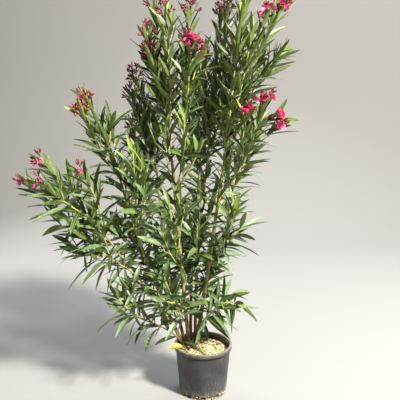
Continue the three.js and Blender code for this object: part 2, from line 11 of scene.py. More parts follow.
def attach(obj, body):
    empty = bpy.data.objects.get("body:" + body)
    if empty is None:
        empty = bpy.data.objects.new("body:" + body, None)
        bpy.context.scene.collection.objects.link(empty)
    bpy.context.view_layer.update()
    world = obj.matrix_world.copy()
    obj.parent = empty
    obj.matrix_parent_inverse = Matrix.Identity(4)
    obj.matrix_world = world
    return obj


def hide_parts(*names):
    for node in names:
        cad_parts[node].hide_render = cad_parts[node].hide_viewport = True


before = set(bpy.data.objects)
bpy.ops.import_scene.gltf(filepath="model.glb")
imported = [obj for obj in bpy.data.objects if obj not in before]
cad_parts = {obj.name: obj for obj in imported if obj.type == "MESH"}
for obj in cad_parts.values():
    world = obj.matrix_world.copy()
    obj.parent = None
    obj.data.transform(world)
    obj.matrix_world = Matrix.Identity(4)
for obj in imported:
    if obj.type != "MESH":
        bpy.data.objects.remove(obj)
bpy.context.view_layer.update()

# A potted oleander. Its limbs and shoots follow the same rows and the same seeded rule as its solids.
# Everything is in metres, +Z up, with -Y to the front.

# Pot and potting mix

POT = SimpleNamespace(
    height=0.270, rim_radius=0.160, body_top_radius=0.150, foot_radius=0.130, wall=0.003, floor=0.004,
    lip_height=0.024, lip_band=0.019, plinth_height=0.016, plinth_inset=0.004, fillet=0.004,
    edge=0.002, inner_edge=0.003, roll=0.005, sides=144, sharp=32,
)
DRAIN = SimpleNamespace(count=10, width=0.024, height=0.020, depth=0.016)
MIX = SimpleNamespace(
    wall_level=0.226, crown_level=0.240, crown_radius=0.078, slope_length=0.110, rings=34, sides=96,
    grains=2400, coarse_grains=900, relief=0.003, under_grains=0.001, off_wall=0.006,
    drawn_in=0.026,
)
# Granules: how many of each size there are, how finely they are shaped, and the share of each stone
STREWN = {"fine": (MIX.grains, 1, (0.0014, 0.0030)), "coarse": (MIX.coarse_grains, 2, (0.0030, 0.0066))}
STONES = {"grain_cream": 0.50, "grain_tan": 0.36, "grain_brown": 0.10, "grain_dark": 0.04}
CRUMBS = SimpleNamespace(count=230, reach=0.030, sizes=(0.0012, 0.0036))
CROWN = Vector((-0.070, 0.042))
GAP = 0.0003

# Canes and boughs

LIMB = SimpleNamespace(
    flare=0.35, flare_height=0.040, sunk=0.012, steps=6, sides=18, ring_every=0.005, fewest_rings=24,
)
BARK = SimpleNamespace(
    round=0.95, node_every=0.052, node_swell=0.10, node_length=0.0034, scar_swell=0.13, scar_length=0.0040,
    scar_width=0.42, ridge=0.022, knobble=0.03,
)

Cane = namedtuple("Cane", "foot tip bow girth")
CANES = {
    "cane_left": Cane((-0.076, 0.018), (-0.160, -0.032, 1.270), (-0.002, -0.008), (0.011, 0.008)),
    "cane_right": Cane((-0.040, 0.036), (0.104, 0.002, 1.235), (0.002, -0.006), (0.012, 0.0084)),
    "cane_middle": Cane((-0.043, 0.068), (0.014, 0.104, 1.190), (-0.016, 0.010), (0.01, 0.007)),
    "cane_far_left": Cane((-0.103, 0.034), (-0.412, -0.060, 1.130), (-0.022, -0.004), (0.0105, 0.007)),
    "cane_back_left": Cane((-0.100, 0.065), (-0.246, 0.128, 1.120), (-0.018, 0.010), (0.0095, 0.0064)),
    "cane_back": Cane((-0.070, 0.084), (-0.030, 0.262, 1.080), (-0.012, 0.022), (0.01, 0.0064)),
    "cane_sucker": Cane((-0.100, 0.002), (-0.296, -0.090, 0.432), (0.038, 0.018), (0.0048, 0.0036)),
}

Bough = namedtuple("Bough", "on at tip bow girth")
BOUGHS = {
    "bough_fork_left": Bough("cane_left", 0.86, (-0.098, -0.028, 1.330), (0.012, 0), (0.0066, 0.0056)),
    "bough_fork_right": Bough("cane_right", 0.86, (0.196, -0.044, 1.250), (0.014, -0.004), (0.0066, 0.0056)),
    "bough_flare": Bough("cane_right", 0.72, (0.170, 0.066, 1.390), (0.010, 0.016), (0.007, 0.0056)),
    "bough_low_left": Bough("cane_far_left", 0.12, (-0.43, -0.116, 0.8), (-0.004, -0.006), (0.0078, 0.0054)),
    "bough_low_back_left": Bough("cane_back_left", 0.2, (-0.3, 0.27, 0.86), (-0.01, 0.022), (0.007, 0.0052)),
    "bough_back_right": Bough("cane_back", 0.2, (0.150, 0.236, 0.950), (0.024, 0.016), (0.0072, 0.0054)),
}

# Masses of foliage: the limb and the share along it, the tip of the leading shoot, how many shoots
# there are and how far apart, the seed, the blossom and how many shoots bear it, and the piece.
# The node of each is named mass_ and its name here.

Mass = namedtuple("Mass", "on at tip shoots spread seed blossom heads spray")
MASSES = {
    "left_blossom": Mass("cane_far_left", 1, (-0.560, -0.118, 1.560), 4, 0.072, 11, "withered", 2, "left"),
    "low_left_blossom": Mass("bough_low_left", 1, (-0.752, -0.205, 1.252), 5, 0.165, 229, "open", 4, "left"),
    "left_shoulder": Mass("cane_back_left", 1, (-0.350, 0.116, 1.680), 4, 0.095, 43, "buds", 2, "back"),
    "left_top": Mass("cane_left", 1, (-0.240, -0.060, 2.000), 4, 0.085, 183, "buds", 4, "top"),
    "middle_top": Mass("bough_fork_left", 1, (-0.068, -0.030, 1.985), 4, 0.085, 15, "mixed", 4, "top"),
    "centre_top": Mass("cane_middle", 1, (0.092, 0.124, 2.000), 4, 0.085, 16, "buds", 2, "top"),
    "right_top": Mass("cane_right", 1, (0.206, -0.005, 2.110), 4, 0.080, 162, "buds", 2, "right"),
    "right_flare": Mass("bough_flare", 1, (0.400, 0.118, 2.050), 4, 0.090, 18, "open", 2, "right"),
    "right_blossom": Mass("bough_fork_right", 1, (0.297, -0.104, 1.545), 4, 0.075, 558, "open", 4, "right"),
    "back_top": Mass("cane_back", 1, (-0.040, 0.340, 1.800), 4, 0.105, 50, "mixed", 3, "back"),
    "back_right": Mass("bough_back_right", 1, (0.265, 0.320, 1.560), 4, 0.100, 21, "open", 2, "back"),
    "back_left": Mass("bough_low_back_left", 1, (-0.410, 0.365, 1.420), 4, 0.105, 22, "mixed", 2, "back"),
    "sucker": Mass("cane_sucker", 1, (-0.450, -0.180, 0.620), 2, 0.060, 23, "none", 0, "left"),
    "left_drape": Mass("bough_low_left", 0.8, (-0.625, -0.250, 0.990), 3, 0.085, 162, "none", 0, "left"),
    "left_inner": Mass("cane_far_left", 0.4, (-0.400, 0.060, 1.010), 4, 0.090, 55, "none", 0, "left"),
    "left_waist": Mass("cane_far_left", 0.7, (-0.340, -0.190, 1.330), 4, 0.085, 26, "none", 0, "left"),
    "front_low": Mass("cane_left", 0.14, (-0.200, -0.190, 0.720), 4, 0.085, 27, "none", 0, "front"),
    "front_waist": Mass("cane_left", 0.42, (-0.170, -0.190, 1.090), 4, 0.090, 28, "none", 0, "front"),
    "front_high": Mass("cane_left", 0.76, (-0.090, -0.170, 1.480), 4, 0.080, 35, "none", 0, "front"),
    "middle_waist": Mass("cane_middle", 0.4, (-0.020, -0.060, 1.120), 4, 0.080, 29, "none", 0, "front"),
    "right_waist": Mass("cane_right", 0.46, (0.165, -0.080, 1.060), 4, 0.070, 30, "none", 0, "right"),
    "right_low": Mass("cane_right", 0.14, (0.100, -0.090, 0.560), 4, 0.065, 31, "none", 0, "right"),
    "centre_low": Mass("cane_middle", 0.18, (0.070, 0.180, 0.760), 4, 0.085, 32, "none", 0, "front"),
    "back_low": Mass("cane_back", 0.3, (-0.130, 0.320, 0.910), 4, 0.095, 63, "none", 0, "back"),
    "back_left_low": Mass("cane_back_left", 0.12, (-0.280, 0.170, 0.690), 4, 0.085, 64, "none", 0, "back"),
}

# The shoots of the solids, whose places the finer ones here share
SHOOT = SimpleNamespace(
    stem_radius=0.0056, side_radius=0.0038, tip_radius=0.0024, level_height=0.008, side_faces=(0, 2, 2, 1),
    leafy=0.92, spacing=0.082, clearance=0.009, bend=0.45, hang=0.25, uneven=0.22, least_back=0.08,
    more_back=0.26, side_out=0.8, side_rise=0.25,
)

# Leaves stand in threes, each three turned a sixth of a circle from the last, and crowd at the tip
LEAF = SimpleNamespace(
    length=0.172, width=0.0255, spacing=0.054, tip_spacing=0.028, bare=0.05, tip_lean=24, shortest=0.66,
    arch=0.03, droop=0.10, fold=0.34, keel=0.0011, stations=9, inner=0.11, clearance=0.003,
    uneven=0.12, lean_uneven=11, roll=26, twist=0.7, longest_at=0.45, uncrowded=0.35, side_bare=0.12,
)
# The lowest leaves of a twig stand this far from it: wide open low on the plant, closer high up
OPEN_LEAN = SimpleNamespace(low=84, high=50, start=0.7, stop=1.5)
# Leaves low on the plant are larger and hang more, and many are a paler grey-green: dust, and a painted sheen
LOW_LEAF = SimpleNamespace(length=1.10, width=1.28, droop=1.9, dust_and_sheen=0.66)
SIDE_TWIG = SimpleNamespace(
    share=0.16, highest=0.8, length=0.110, lengths=(0.55, 1.1), lean=40, lean_uneven=12, bend=0.55, lift=0.8,
    radius=0.0019, taper=0.7, bare=0.25, leaf=0.74,
)
TWIG = SimpleNamespace(sides=6, ring_every=0.012, node_swell=0.22, node_length=0.006, brown=0.35)
LIMB_LEAVES = SimpleNamespace(start=0.26, share=0.80, short=0.4, short_start=0.08)

# Finer twigs that end in buds: the share along the mass's leading shoot, and the twig's tip
FLOWERING_TWIG = SimpleNamespace(branches=11, radius=0.0024, taper=0.8, bare=0.2, leaf=0.8, bow=0.3)
FLOWERING_TWIGS = {
    "left_top": ((0.50, (-0.252, -0.100, 1.775)),),
    "middle_top": ((0.62, (-0.045, -0.085, 1.790)),),
}

# Masses whose leaves are thinner on the twigs, so that the canes show between them
THINNED = {
    "front_waist": 0.45, "front_high": 0.45, "middle_waist": 0.5, "front_low": 0.42,
    "right_waist": 0.8, "left_waist": 0.72, "left_inner": 0.72, "left_drape": 0.85,
    "right_low": 0.7,
}
# The last tint is a paler grey-green for low leaves: dust, and a painted sheen.
TINTS = ("leaf_mature", "leaf_deep", "leaf_young", "leaf_tip", "leaf_dust_and_sheen")
MATURE, DEEP, YOUNG, TIP, DUST_AND_SHEEN = range(5)

# Small helpers

UP = Vector((0, 0, 1))


def lerp(low, high, share):
    return low + (high - low) * share


def smooth_step(value, low, high):
    share = min(1, max(0, (value - low) / (high - low)))
    return share * share * (3 - 2 * share)


def light_value(value):
    """A painter's 0 to 255 value as the light value that Blender takes."""
    return ((value / 255 + 0.055) / 1.055) ** 2.4 if value > 10 else value / 3294.6


def paint(red, green, blue):
    """An opaque colour from a painter's 0 to 255 values."""
    return (light_value(red), light_value(green), light_value(blue), 1.0)


class Draws:
    """Repeatable random numbers, the same as the solids were grown with."""

    def __init__(self, seed):
        self.state = (seed * 7919) % 2**32
        self.next()

    def next(self):
        self.state = (self.state * 1664525 + 1013904223) % 2**32
        return self.state / 2**32

    def jitter(self, spread):
        return (self.next() * 2 - 1) * spread

    def between(self, low, high):
        return lerp(low, high, self.next())


def square_to(direction):
    other = UP if abs(direction.z) < 0.9 else Vector((1, 0, 0))
    return direction.cross(other).normalized()


class Path:
    """A smooth path from start to tip that leaves start towards bend."""

    def __init__(self, start, bend, tip):
        self.start, self.bend, self.tip = start, bend, tip
        line = self.points(200)
        self.length = sum((b - a).length for a, b in zip(line, line[1:]))

    def at(self, share):
        back = 1 - share
        return self.start * (back * back) + self.bend * (2 * back * share) + self.tip * (share * share)

    def heading(self, share):
        return ((self.bend - self.start) * (1 - share) + (self.tip - self.bend) * share).normalized()

    def points(self, steps):
        return [self.at(i / steps) for i in range(steps + 1)]


def ring_around(centre, right, upper, radius, sides, turn):
    angles = [turn + 2 * math.pi * i / sides for i in range(sides)]
    return [centre + right * (radius * math.cos(a)) + upper * (radius * math.sin(a)) for a in angles]


def add_object(name, data):
    """A new object in the scene."""
    made = bpy.data.objects.new(name, data)
    bpy.context.scene.collection.objects.link(made)
    return made


class Heap:
    """Corners and faces gathered for one joined piece. Each face names its finish by number."""

    def __init__(self):
        self.corners, self.faces, self.finishes, self.count = [], [], [], 0

    def add(self, corners, faces, finishes=None):
        corners = np.asarray(corners, dtype=float).reshape(-1, 3)
        self.corners.append(corners)
        self.faces.extend([[corner + self.count for corner in face] for face in faces])
        self.finishes.extend(finishes or [0] * len(faces))
        self.count += len(corners)

    def add_many(self, shape, corners):
        """Adds one copy of a shape's faces for each row of corners."""
        copies, each = corners.shape[0], corners.shape[1]
        for sides in (3, 4, 5):
            picked = [i for i, face in enumerate(shape.faces) if len(face) == sides]
            if not picked:
                continue
            faces = np.array([shape.faces[i] for i in picked])
            offsets = self.count + each * np.arange(copies)
            self.faces.extend((faces[None] + offsets[:, None, None]).reshape(-1, sides).tolist())
            self.finishes.extend(shape.finishes_for(picked, copies))
        self.corners.append(corners.reshape(-1, 3))
        self.count += copies * each

    def piece(self, name, finishes, slot, nodes, sharp=50):
        mesh = bpy.data.meshes.new(name)
        mesh.from_pydata(np.concatenate(self.corners).tolist(), [], self.faces)
        for finish in finishes:
            mesh.materials.append(MATERIALS[finish])
        mesh.polygons.foreach_set("material_index", self.finishes)
        mesh.shade_smooth()
        mesh.set_sharp_from_angle(angle=math.radians(sharp))
        return settle(add_object(name, mesh), slot, nodes)

    def shape(self):
        return Shape(np.concatenate(self.corners), self.faces, self.finishes)


def settle(piece, slot, nodes):
    """Says what a piece rides on and which nodes it stands for."""
    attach(piece, "root")
    if nodes:
        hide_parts(*nodes)
    return piece


class Shape:
    """A small form that is placed many times."""

    def __init__(self, corners, faces, finishes):
        self.corners, self.faces, self.finishes = np.asarray(corners, dtype=float), faces, finishes

    def finishes_for(self, picked, copies):
        return [self.finishes[i] for i in picked] * copies

    def placed(self, roots, rights, uppers, alongs, scales):
        """Corners of a copy at each root, with x to the right, y up from it and z along it."""
        turns = np.stack([np.asarray(rights), np.asarray(uppers), np.asarray(alongs)], axis=1)
        local = self.corners[None] * np.asarray(scales)[:, None, None]
        return np.einsum("nij,njk->nik", local, turns) + np.asarray(roots)[:, None, :]


def swept(path, shares, radii, sides):
    """Rings of corners along a path. radii holds one radius for each ring, or one for each corner."""
    right = square_to(path.heading(shares[0]))
    rings = []
    angles = 2 * np.pi * np.arange(sides) / sides
    for share, radius in zip(shares, radii):
        heading = path.heading(share)
        right = (right - heading * right.dot(heading)).normalized()
        upper = heading.cross(right)
        around = np.outer(np.cos(angles), right) + np.outer(np.sin(angles), upper)
        rings.append(np.array(path.at(share)) + around * np.reshape(radius, (-1, 1)))
    return np.array(rings)


def tube_faces(rings, sides):
    """Faces of a tube of rings, closed flat at both ends."""
    faces = [list(range(sides))[::-1]]
    for i in range(rings - 1):
        for j in range(sides):
            after = (j + 1) % sides
            faces.append([i * sides + j, i * sides + after, (i + 1) * sides + after, (i + 1) * sides + j])
    faces.append([(rings - 1) * sides + j for j in range(sides)])
    return faces


# Finishes

MATERIALS = {}


def add_node(tree, kind, inputs=None, **settings):
    """Adds a node. Its inputs are plain values or the outputs of other nodes."""
    made = tree.nodes.new(kind)
    for name, value in settings.items():
        setattr(made, name, value)
    for name, value in (inputs or {}).items():
        if isinstance(value, bpy.types.NodeSocket):
            tree.links.new(value, made.inputs[name])
        else:
            made.inputs[name].default_value = value
    return made


def object_place(tree):
    return add_node(tree, "ShaderNodeTexCoord").outputs["Object"]


def height_on(tree):
    """How high each point of a surface is."""
    return add_node(tree, "ShaderNodeSeparateXYZ", {0: object_place(tree)}).outputs["Z"]


def drawn_out(tree, share):
    """Places that make a pattern run up and down: share says how much closer its heights lie."""
    inputs = {"Vector": object_place(tree), "Scale": (1.0, 1.0, share)}
    return add_node(tree, "ShaderNodeMapping", inputs).outputs[0]


def noise_value(tree, scale, detail=3.0, roughness=0.55, place=None):
    inputs = {"Vector": place or object_place(tree), "Scale": scale, "Detail": detail, "Roughness": roughness}
    return add_node(tree, "ShaderNodeTexNoise", inputs).outputs["Fac"]


def fit_range(tree, value, low, high, to_low=0.0, to_high=1.0):
    inputs = {"Value": value, "From Min": low, "From Max": high, "To Min": to_low, "To Max": to_high}
    return add_node(tree, "ShaderNodeMapRange", inputs, interpolation_type="SMOOTHSTEP").outputs["Result"]


def blend_colours(tree, share, first, second):
    """The sockets of a mix of colours have numbers: its share is 0, and its colours are 6 and 7."""
    inputs = {0: share, 6: first, 7: second}
    return add_node(tree, "ShaderNodeMix", inputs, data_type="RGBA").outputs[2]


def calculate(tree, operation, first, second):
    return add_node(tree, "ShaderNodeMath", {0: first, 1: second}, operation=operation).outputs[0]


def laid_over(tree, colour, over, mask, amount):
    """A colour with another laid over it where the mask shows it."""
    return blend_colours(tree, calculate(tree, "MULTIPLY", mask, amount), colour, over)


def effect(name, inputs, outputs, build):
    """A node group with named inputs and outputs. build gives back the socket for each output."""
    tree = bpy.data.node_groups.new(name, "ShaderNodeTree")
    for label, value in inputs.items():
        kind = "NodeSocketColor" if isinstance(value, tuple) else "NodeSocketFloat"
        socket = tree.interface.new_socket(label, in_out="INPUT", socket_type=kind)
        socket.default_value = value
    for label, kind in outputs.items():
        tree.interface.new_socket(label, in_out="OUTPUT", socket_type=kind)
    entry = tree.nodes.new("NodeGroupInput")
    leaving = tree.nodes.new("NodeGroupOutput")
    for label, socket in build(tree, entry.outputs).items():
        tree.links.new(socket, leaving.inputs[label])
    return tree


def build_mottle(tree, given):
    blotches = noise_value(tree, given["Scale"], 4.0)
    share = calculate(tree, "MULTIPLY", fit_range(tree, blotches, 0.34, 0.66), given["Amount"])
    return {"Colour": blend_colours(tree, share, given["Colour"], given["Second colour"]), "Mask": share}


def build_grain(tree, given):
    coarse = noise_value(tree, given["Scale"], 5.0, 0.62)
    fine = noise_value(tree, calculate(tree, "MULTIPLY", given["Scale"], 4.3), 2.0)
    height = calculate(tree, "ADD", coarse, calculate(tree, "MULTIPLY", fine, 0.4))
    roughness = fit_range(tree, coarse, 0.3, 0.7, given["Smoothest"], given["Roughest"])
    return {"Height": height, "Roughness": roughness}


def build_dusting(tree, given):
    low = fit_range(tree, height_on(tree), given["Full below"], given["None above"], 1.0, 0.0)
    patches = fit_range(tree, noise_value(tree, 38.0, 6.0, 0.66), 0.36, 0.66)
    facing = add_node(tree, "ShaderNodeNewGeometry").outputs["Normal"]
    upward = add_node(tree, "ShaderNodeSeparateXYZ", {0: facing}).outputs["Z"]
    settled = calculate(tree, "MULTIPLY", fit_range(tree, upward, 0.15, 0.9), given["On ledges"])
    mask = calculate(tree, "MAXIMUM", calculate(tree, "MULTIPLY", low, patches), settled)
    mask = calculate(tree, "MULTIPLY", mask, given["Amount"])
    return {"Colour": blend_colours(tree, mask, given["Colour"], given["Dust"]), "Mask": mask}


def make_effects():
    colour, value = "NodeSocketColor", "NodeSocketFloat"
    white = (1.0, 1.0, 1.0, 1.0)
    return SimpleNamespace(
        mottle=effect(
            "mottle",
            {"Colour": white, "Second colour": white, "Scale": 40.0, "Amount": 1.0},
            {"Colour": colour, "Mask": value},
            build_mottle,
        ),
        grain=effect(
            "grain",
            {"Scale": 300.0, "Smoothest": 0.4, "Roughest": 0.6},
            {"Height": value, "Roughness": value},
            build_grain,
        ),
        dusting=effect(
            "dusting",
            {
                "Colour": white, "Dust": white, "Full below": 0.0, "None above": 0.1, "On ledges": 0.0,
                "Amount": 1.0,
            },
            {"Colour": colour, "Mask": value},
            build_dusting,
        ),
    )


def new_finish(name):
    """An empty material with a Principled shader."""
    material = bpy.data.materials.new(name)
    material.use_nodes = True
    MATERIALS[name] = material
    return material.node_tree, material.node_tree.nodes["Principled BSDF"]


def use_effect(tree, group, inputs):
    """Places a node group, and gives its outputs."""
    return add_node(tree, "ShaderNodeGroup", inputs, node_tree=group).outputs


def finish_surface(tree, shader, colour, skin, grain_scale):
    """Joins a colour and a grain to the shader."""
    inputs = {"Scale": grain_scale, "Smoothest": skin.gloss[0], "Roughest": skin.gloss[1]}
    grain = use_effect(tree, EFFECTS.grain, inputs)
    inputs = {"Height": grain["Height"], "Distance": skin.bump, "Strength": 1.0}
    relief = add_node(tree, "ShaderNodeBump", inputs)
    tree.links.new(colour, shader.inputs["Base Color"])
    tree.links.new(grain["Roughness"], shader.inputs["Roughness"])
    tree.links.new(relief.outputs["Normal"], shader.inputs["Normal"])
    shader.inputs["Specular IOR Level"].default_value = skin.specular
    shader.inputs["Sheen Weight"].default_value = skin.sheen


# The skin of a leaf, petal, twig or stone: the scale of its blotches, its least and greatest roughness,
# the depth of its grain, how much it shines and its bloom
Skin = namedtuple("Skin", "scale gloss bump specular sheen", defaults=(0.5, 0.0))

# Every skin, with the finishes that have it and their two close colours
FINISHES = (
    (Skin(42, (0.40, 0.54), 0.00025, 0.9), {
        "leaf_mature": ((56, 80, 18), (40, 60, 12)),
        "leaf_deep": ((34, 54, 10), (24, 40, 8)),
        "leaf_young": ((110, 136, 36), (80, 105, 24)),
        "leaf_tip": ((160, 178, 58), (130, 152, 40)),
        # A paler grey-green for low leaves: dust, and a painted sheen.
        "leaf_dust_and_sheen": ((104, 130, 82), (78, 104, 57)),
    }),
    (Skin(60, (0.55, 0.7), 0.0003, 0.35), {"leaf_under": ((118, 138, 74), (96, 116, 56))}),
    (Skin(60, (0.4, 0.55), 0.0002), {"leaf_rib": ((132, 148, 84), (112, 128, 68))}),
    (Skin(50, (0.5, 0.7), 0.0004), {"leaf_yellow": ((230, 230, 128), (204, 208, 88))}),
    (Skin(50, (0.7, 0.9), 0.0006, 0.2), {
        "leaf_dry": ((112, 78, 54), (78, 52, 40)),
        "withered": ((184, 112, 78), (148, 76, 54)),
        "withered_dark": ((136, 70, 64), (104, 52, 46)),
    }),
    (Skin(60, (0.45, 0.65), 0.0004), {"twig_green": ((190, 194, 104), (164, 170, 88))}),
    (Skin(60, (0.55, 0.75), 0.0005), {"twig_brown": ((168, 164, 92), (146, 140, 80))}),
    (Skin(90, (0.6, 0.8), 0.0006, 0.3), {"stub_bark": ((112, 76, 72), (78, 52, 52))}),
    (Skin(120, (0.7, 0.85), 0.0005, 0.2), {"cut_wood": ((206, 180, 160), (176, 144, 124))}),
    (Skin(46, (0.42, 0.6), 0.0003, 0.4, 0.15), {
        "petal_rose": ((220, 50, 116), (202, 34, 100)),
        "petal_pink": ((230, 130, 176), (216, 100, 152)),
        "petal_deep": ((182, 20, 80), (150, 14, 62)),
    }),
    (Skin(46, (0.5, 0.65), 0.0003, 0.4, 0.15), {"petal_back": ((240, 124, 176), (226, 84, 146))}),
    (Skin(90, (0.5, 0.65), 0.0003), {"throat": ((250, 170, 190), (236, 96, 140))}),
    (Skin(60, (0.4, 0.55), 0.0003), {"bud_crimson": ((150, 66, 76), (108, 42, 52))}),
    (Skin(70, (0.5, 0.65), 0.0003), {"calyx": ((134, 66, 60), (112, 84, 56))}),
    (Skin(160, (0.8, 0.95), 0.0008, 0.2), {
        "mix_bed": ((172, 154, 106), (134, 114, 76)),
        "grain_cream": ((234, 226, 184), (216, 206, 156)),
        "grain_tan": ((210, 192, 136), (188, 168, 110)),
        "grain_brown": ((150, 126, 82), (120, 98, 62)),
        "grain_dark": ((88, 66, 50), (66, 50, 40)),
    }),
)

# Bark: its colours at the foot, in the middle and at the top, and the heights where they change
Bark = namedtuple("Bark", "foot middle top fade")
BARKS = {
    "cane_bark": Bark((112, 84, 60), (162, 146, 84), (196, 192, 104), (0.30, 0.66, 1.0)),
    "bough_bark": Bark((118, 96, 64), (170, 158, 90), (198, 196, 106), (0.34, 0.66, 1.0)),
}
BARK_LOOK = SimpleNamespace(
    waver=0.22, waver_scale=14, streak=paint(72, 56, 40), streak_scale=260, streak_length=0.16,
    streaked=0.55, pore=paint(176, 160, 128), pore_scale=420, pored=0.6, dust=paint(186, 162, 126),
    dust_full=0.22, dust_none=0.36, dusted=0.7, skin=Skin(340, (0.55, 0.82), 0.0006, 0.35),
)

# Wear of the pot. Each kind of scratch has its scale, the range of the pattern that shows and its tone.
Scratch = namedtuple("Scratch", "scale low high amount tone")
SCRATCHES = (Scratch(60, 0.50, 0.66, 0.45, 106), Scratch(230, 0.57, 0.70, 0.7, 156))
POT_LOOK = SimpleNamespace(
    dark=paint(44, 44, 46), grey=paint(62, 62, 64), blotch_scale=9, blotched=0.9, scratch_length=0.05,
    # The near-black band under the lip is a painted shadow, where the lip's own shadow falls; the lip above
    # it is worn pale.
    rubbed_scale=5, least_rubbed=0.15, lip_shadow=paint(11, 11, 12), lip_shadow_height=0.016, lip_shadow_edge=0.007,
    lip=paint(134, 130, 120), lip_scale=34, lip_edge=0.002, lip_worn=0.8, dust=paint(158, 148, 130),
    dust_full=0.012, dust_none=0.060, on_ledges=0.5, dusted=0.85, skin=Skin(420, (0.32, 0.5), 0.0003),
)


def living_finish(name, skin, colour, second):
    """A leaf, petal, twig or stone: two close colours in soft blotches, with a fine grain."""
    tree, shader = new_finish(name)
    inputs = {"Colour": paint(*colour), "Second colour": paint(*second), "Scale": skin.scale}
    mottle = use_effect(tree, EFFECTS.mottle, inputs)
    finish_surface(tree, shader, mottle["Colour"], skin, skin.scale * 12)


def bark_finish(name, bark):
    """Bark that turns from old and grey at the foot to young and green at the tip."""
    tree, shader = new_finish(name)
    look = BARK_LOOK
    waver = calculate(tree, "MULTIPLY", noise_value(tree, look.waver_scale), look.waver)
    height = calculate(tree, "ADD", height_on(tree), waver)
    low, middle, high = bark.fade
    lower = blend_colours(tree, fit_range(tree, height, low, middle), paint(*bark.foot), paint(*bark.middle))
    colour = blend_colours(tree, fit_range(tree, height, middle, high), lower, paint(*bark.top))
    streaks = noise_value(tree, look.streak_scale, 5.0, 0.6, drawn_out(tree, look.streak_length))
    colour = laid_over(tree, colour, look.streak, fit_range(tree, streaks, 0.42, 0.68), look.streaked)
    pores = fit_range(tree, noise_value(tree, look.pore_scale, 2.0), 0.66, 0.74)
    colour = laid_over(tree, colour, look.pore, pores, look.pored)
    dusted = use_effect(tree, EFFECTS.dusting, {
        "Colour": colour, "Dust": look.dust, "Full below": look.dust_full, "None above": look.dust_none,
        "Amount": look.dusted,
    })
    finish_surface(tree, shader, dusted["Colour"], look.skin, look.skin.scale)


def scratched(tree, colour):
    """Scratches that run down the pot's sides, in rubbed patches."""
    rubbed = noise_value(tree, POT_LOOK.rubbed_scale, 2.0)
    rubbed = fit_range(tree, rubbed, 0.42, 0.62, POT_LOOK.least_rubbed)
    for scratch in SCRATCHES:
        lines = noise_value(tree, scratch.scale, 5.0, 0.66, drawn_out(tree, POT_LOOK.scratch_length))
        lines = fit_range(tree, lines, scratch.low, scratch.high)
        share = calculate(tree, "MULTIPLY", lines, scratch.amount)
        colour = laid_over(tree, colour, paint(scratch.tone, scratch.tone, scratch.tone - 3), share, rubbed)
    return colour


def shaded_lip(tree, colour):
    """A painted shadow: a near-black band under the pot's lip, where the lip casts its shadow; and the lip
    worn pale above it.
    """
    look, height = POT_LOOK, height_on(tree)
    foot = POT.height - POT.lip_height
    # Painted shadow: a near-black band on the body just under the lip, fading out downwards, where the lip's
    # shadow falls.
    lip_shadow = foot - look.lip_shadow_height
    below = fit_range(tree, height, lip_shadow, lip_shadow + look.lip_shadow_edge)
    above = fit_range(tree, height, foot, foot + look.lip_edge, 1.0, 0.0)
    colour = laid_over(tree, colour, look.lip_shadow, below, above)
    worn = fit_range(tree, noise_value(tree, look.lip_scale, 4.0), 0.3, 0.7, 0.2, 0.9)
    lip = fit_range(tree, height, foot + look.lip_edge, POT.height - POT.fillet, 0.0, look.lip_worn)
    return laid_over(tree, colour, look.lip, worn, lip)


def plastic_finish():
    """Black moulded plastic gone grey, scratched down its sides, with a painted shadow under its lip and dust
    on its rim and foot.
    """
    tree, shader = new_finish("pot_plastic")
    look = POT_LOOK
    mottle = use_effect(tree, EFFECTS.mottle, {
        "Colour": look.dark, "Second colour": look.grey, "Scale": look.blotch_scale, "Amount": look.blotched,
    })
    colour = shaded_lip(tree, scratched(tree, mottle["Colour"]))
    dusted = use_effect(tree, EFFECTS.dusting, {
        "Colour": colour, "Dust": look.dust, "Full below": look.dust_full, "None above": look.dust_none,
        "On ledges": look.on_ledges, "Amount": look.dusted,
    })
    finish_surface(tree, shader, dusted["Colour"], look.skin, look.skin.scale)


def make_finishes():
    plastic_finish()
    for name, bark in BARKS.items():
        bark_finish(name, bark)
    for skin, finishes in FINISHES:
        for name, colours in finishes.items():
            living_finish(name, skin, *colours)


EFFECTS = make_effects()
make_finishes()

# The pot


def turned(profile, sides):
    """Corners and faces of a closed surface of revolution. The profile starts and ends on the axis."""
    angles = 2 * np.pi * np.arange(sides) / sides
    corners = [[(0, 0, profile[0][1])]]
    for radius, z in profile[1:-1]:
        ring = [radius * np.cos(angles), radius * np.sin(angles), np.full(sides, z)]
        corners.append(np.stack(ring, axis=1))
    corners.append([(0, 0, profile[-1][1])])
    faces = []
    last = 1 + sides * (len(profile) - 2)
    for j in range(sides):
        after = (j + 1) % sides
        faces.append([0, 1 + after, 1 + j])
        for i in range(len(profile) - 3):
            low, high = 1 + i * sides, 1 + (i + 1) * sides
            faces.append([low + j, low + after, high + after, high + j])
        faces.append([last - sides + j, last - sides + after, last])
    return np.concatenate(corners), faces


def rounded(centre, radius, start, stop, steps):
    """Points of an arc in the plane of a profile, from start to stop in degrees."""
    angles = [math.radians(lerp(start, stop, i / steps)) for i in range(steps + 1)]
    return [(centre[0] + radius * math.cos(a), centre[1] + radius * math.sin(a)) for a in angles]


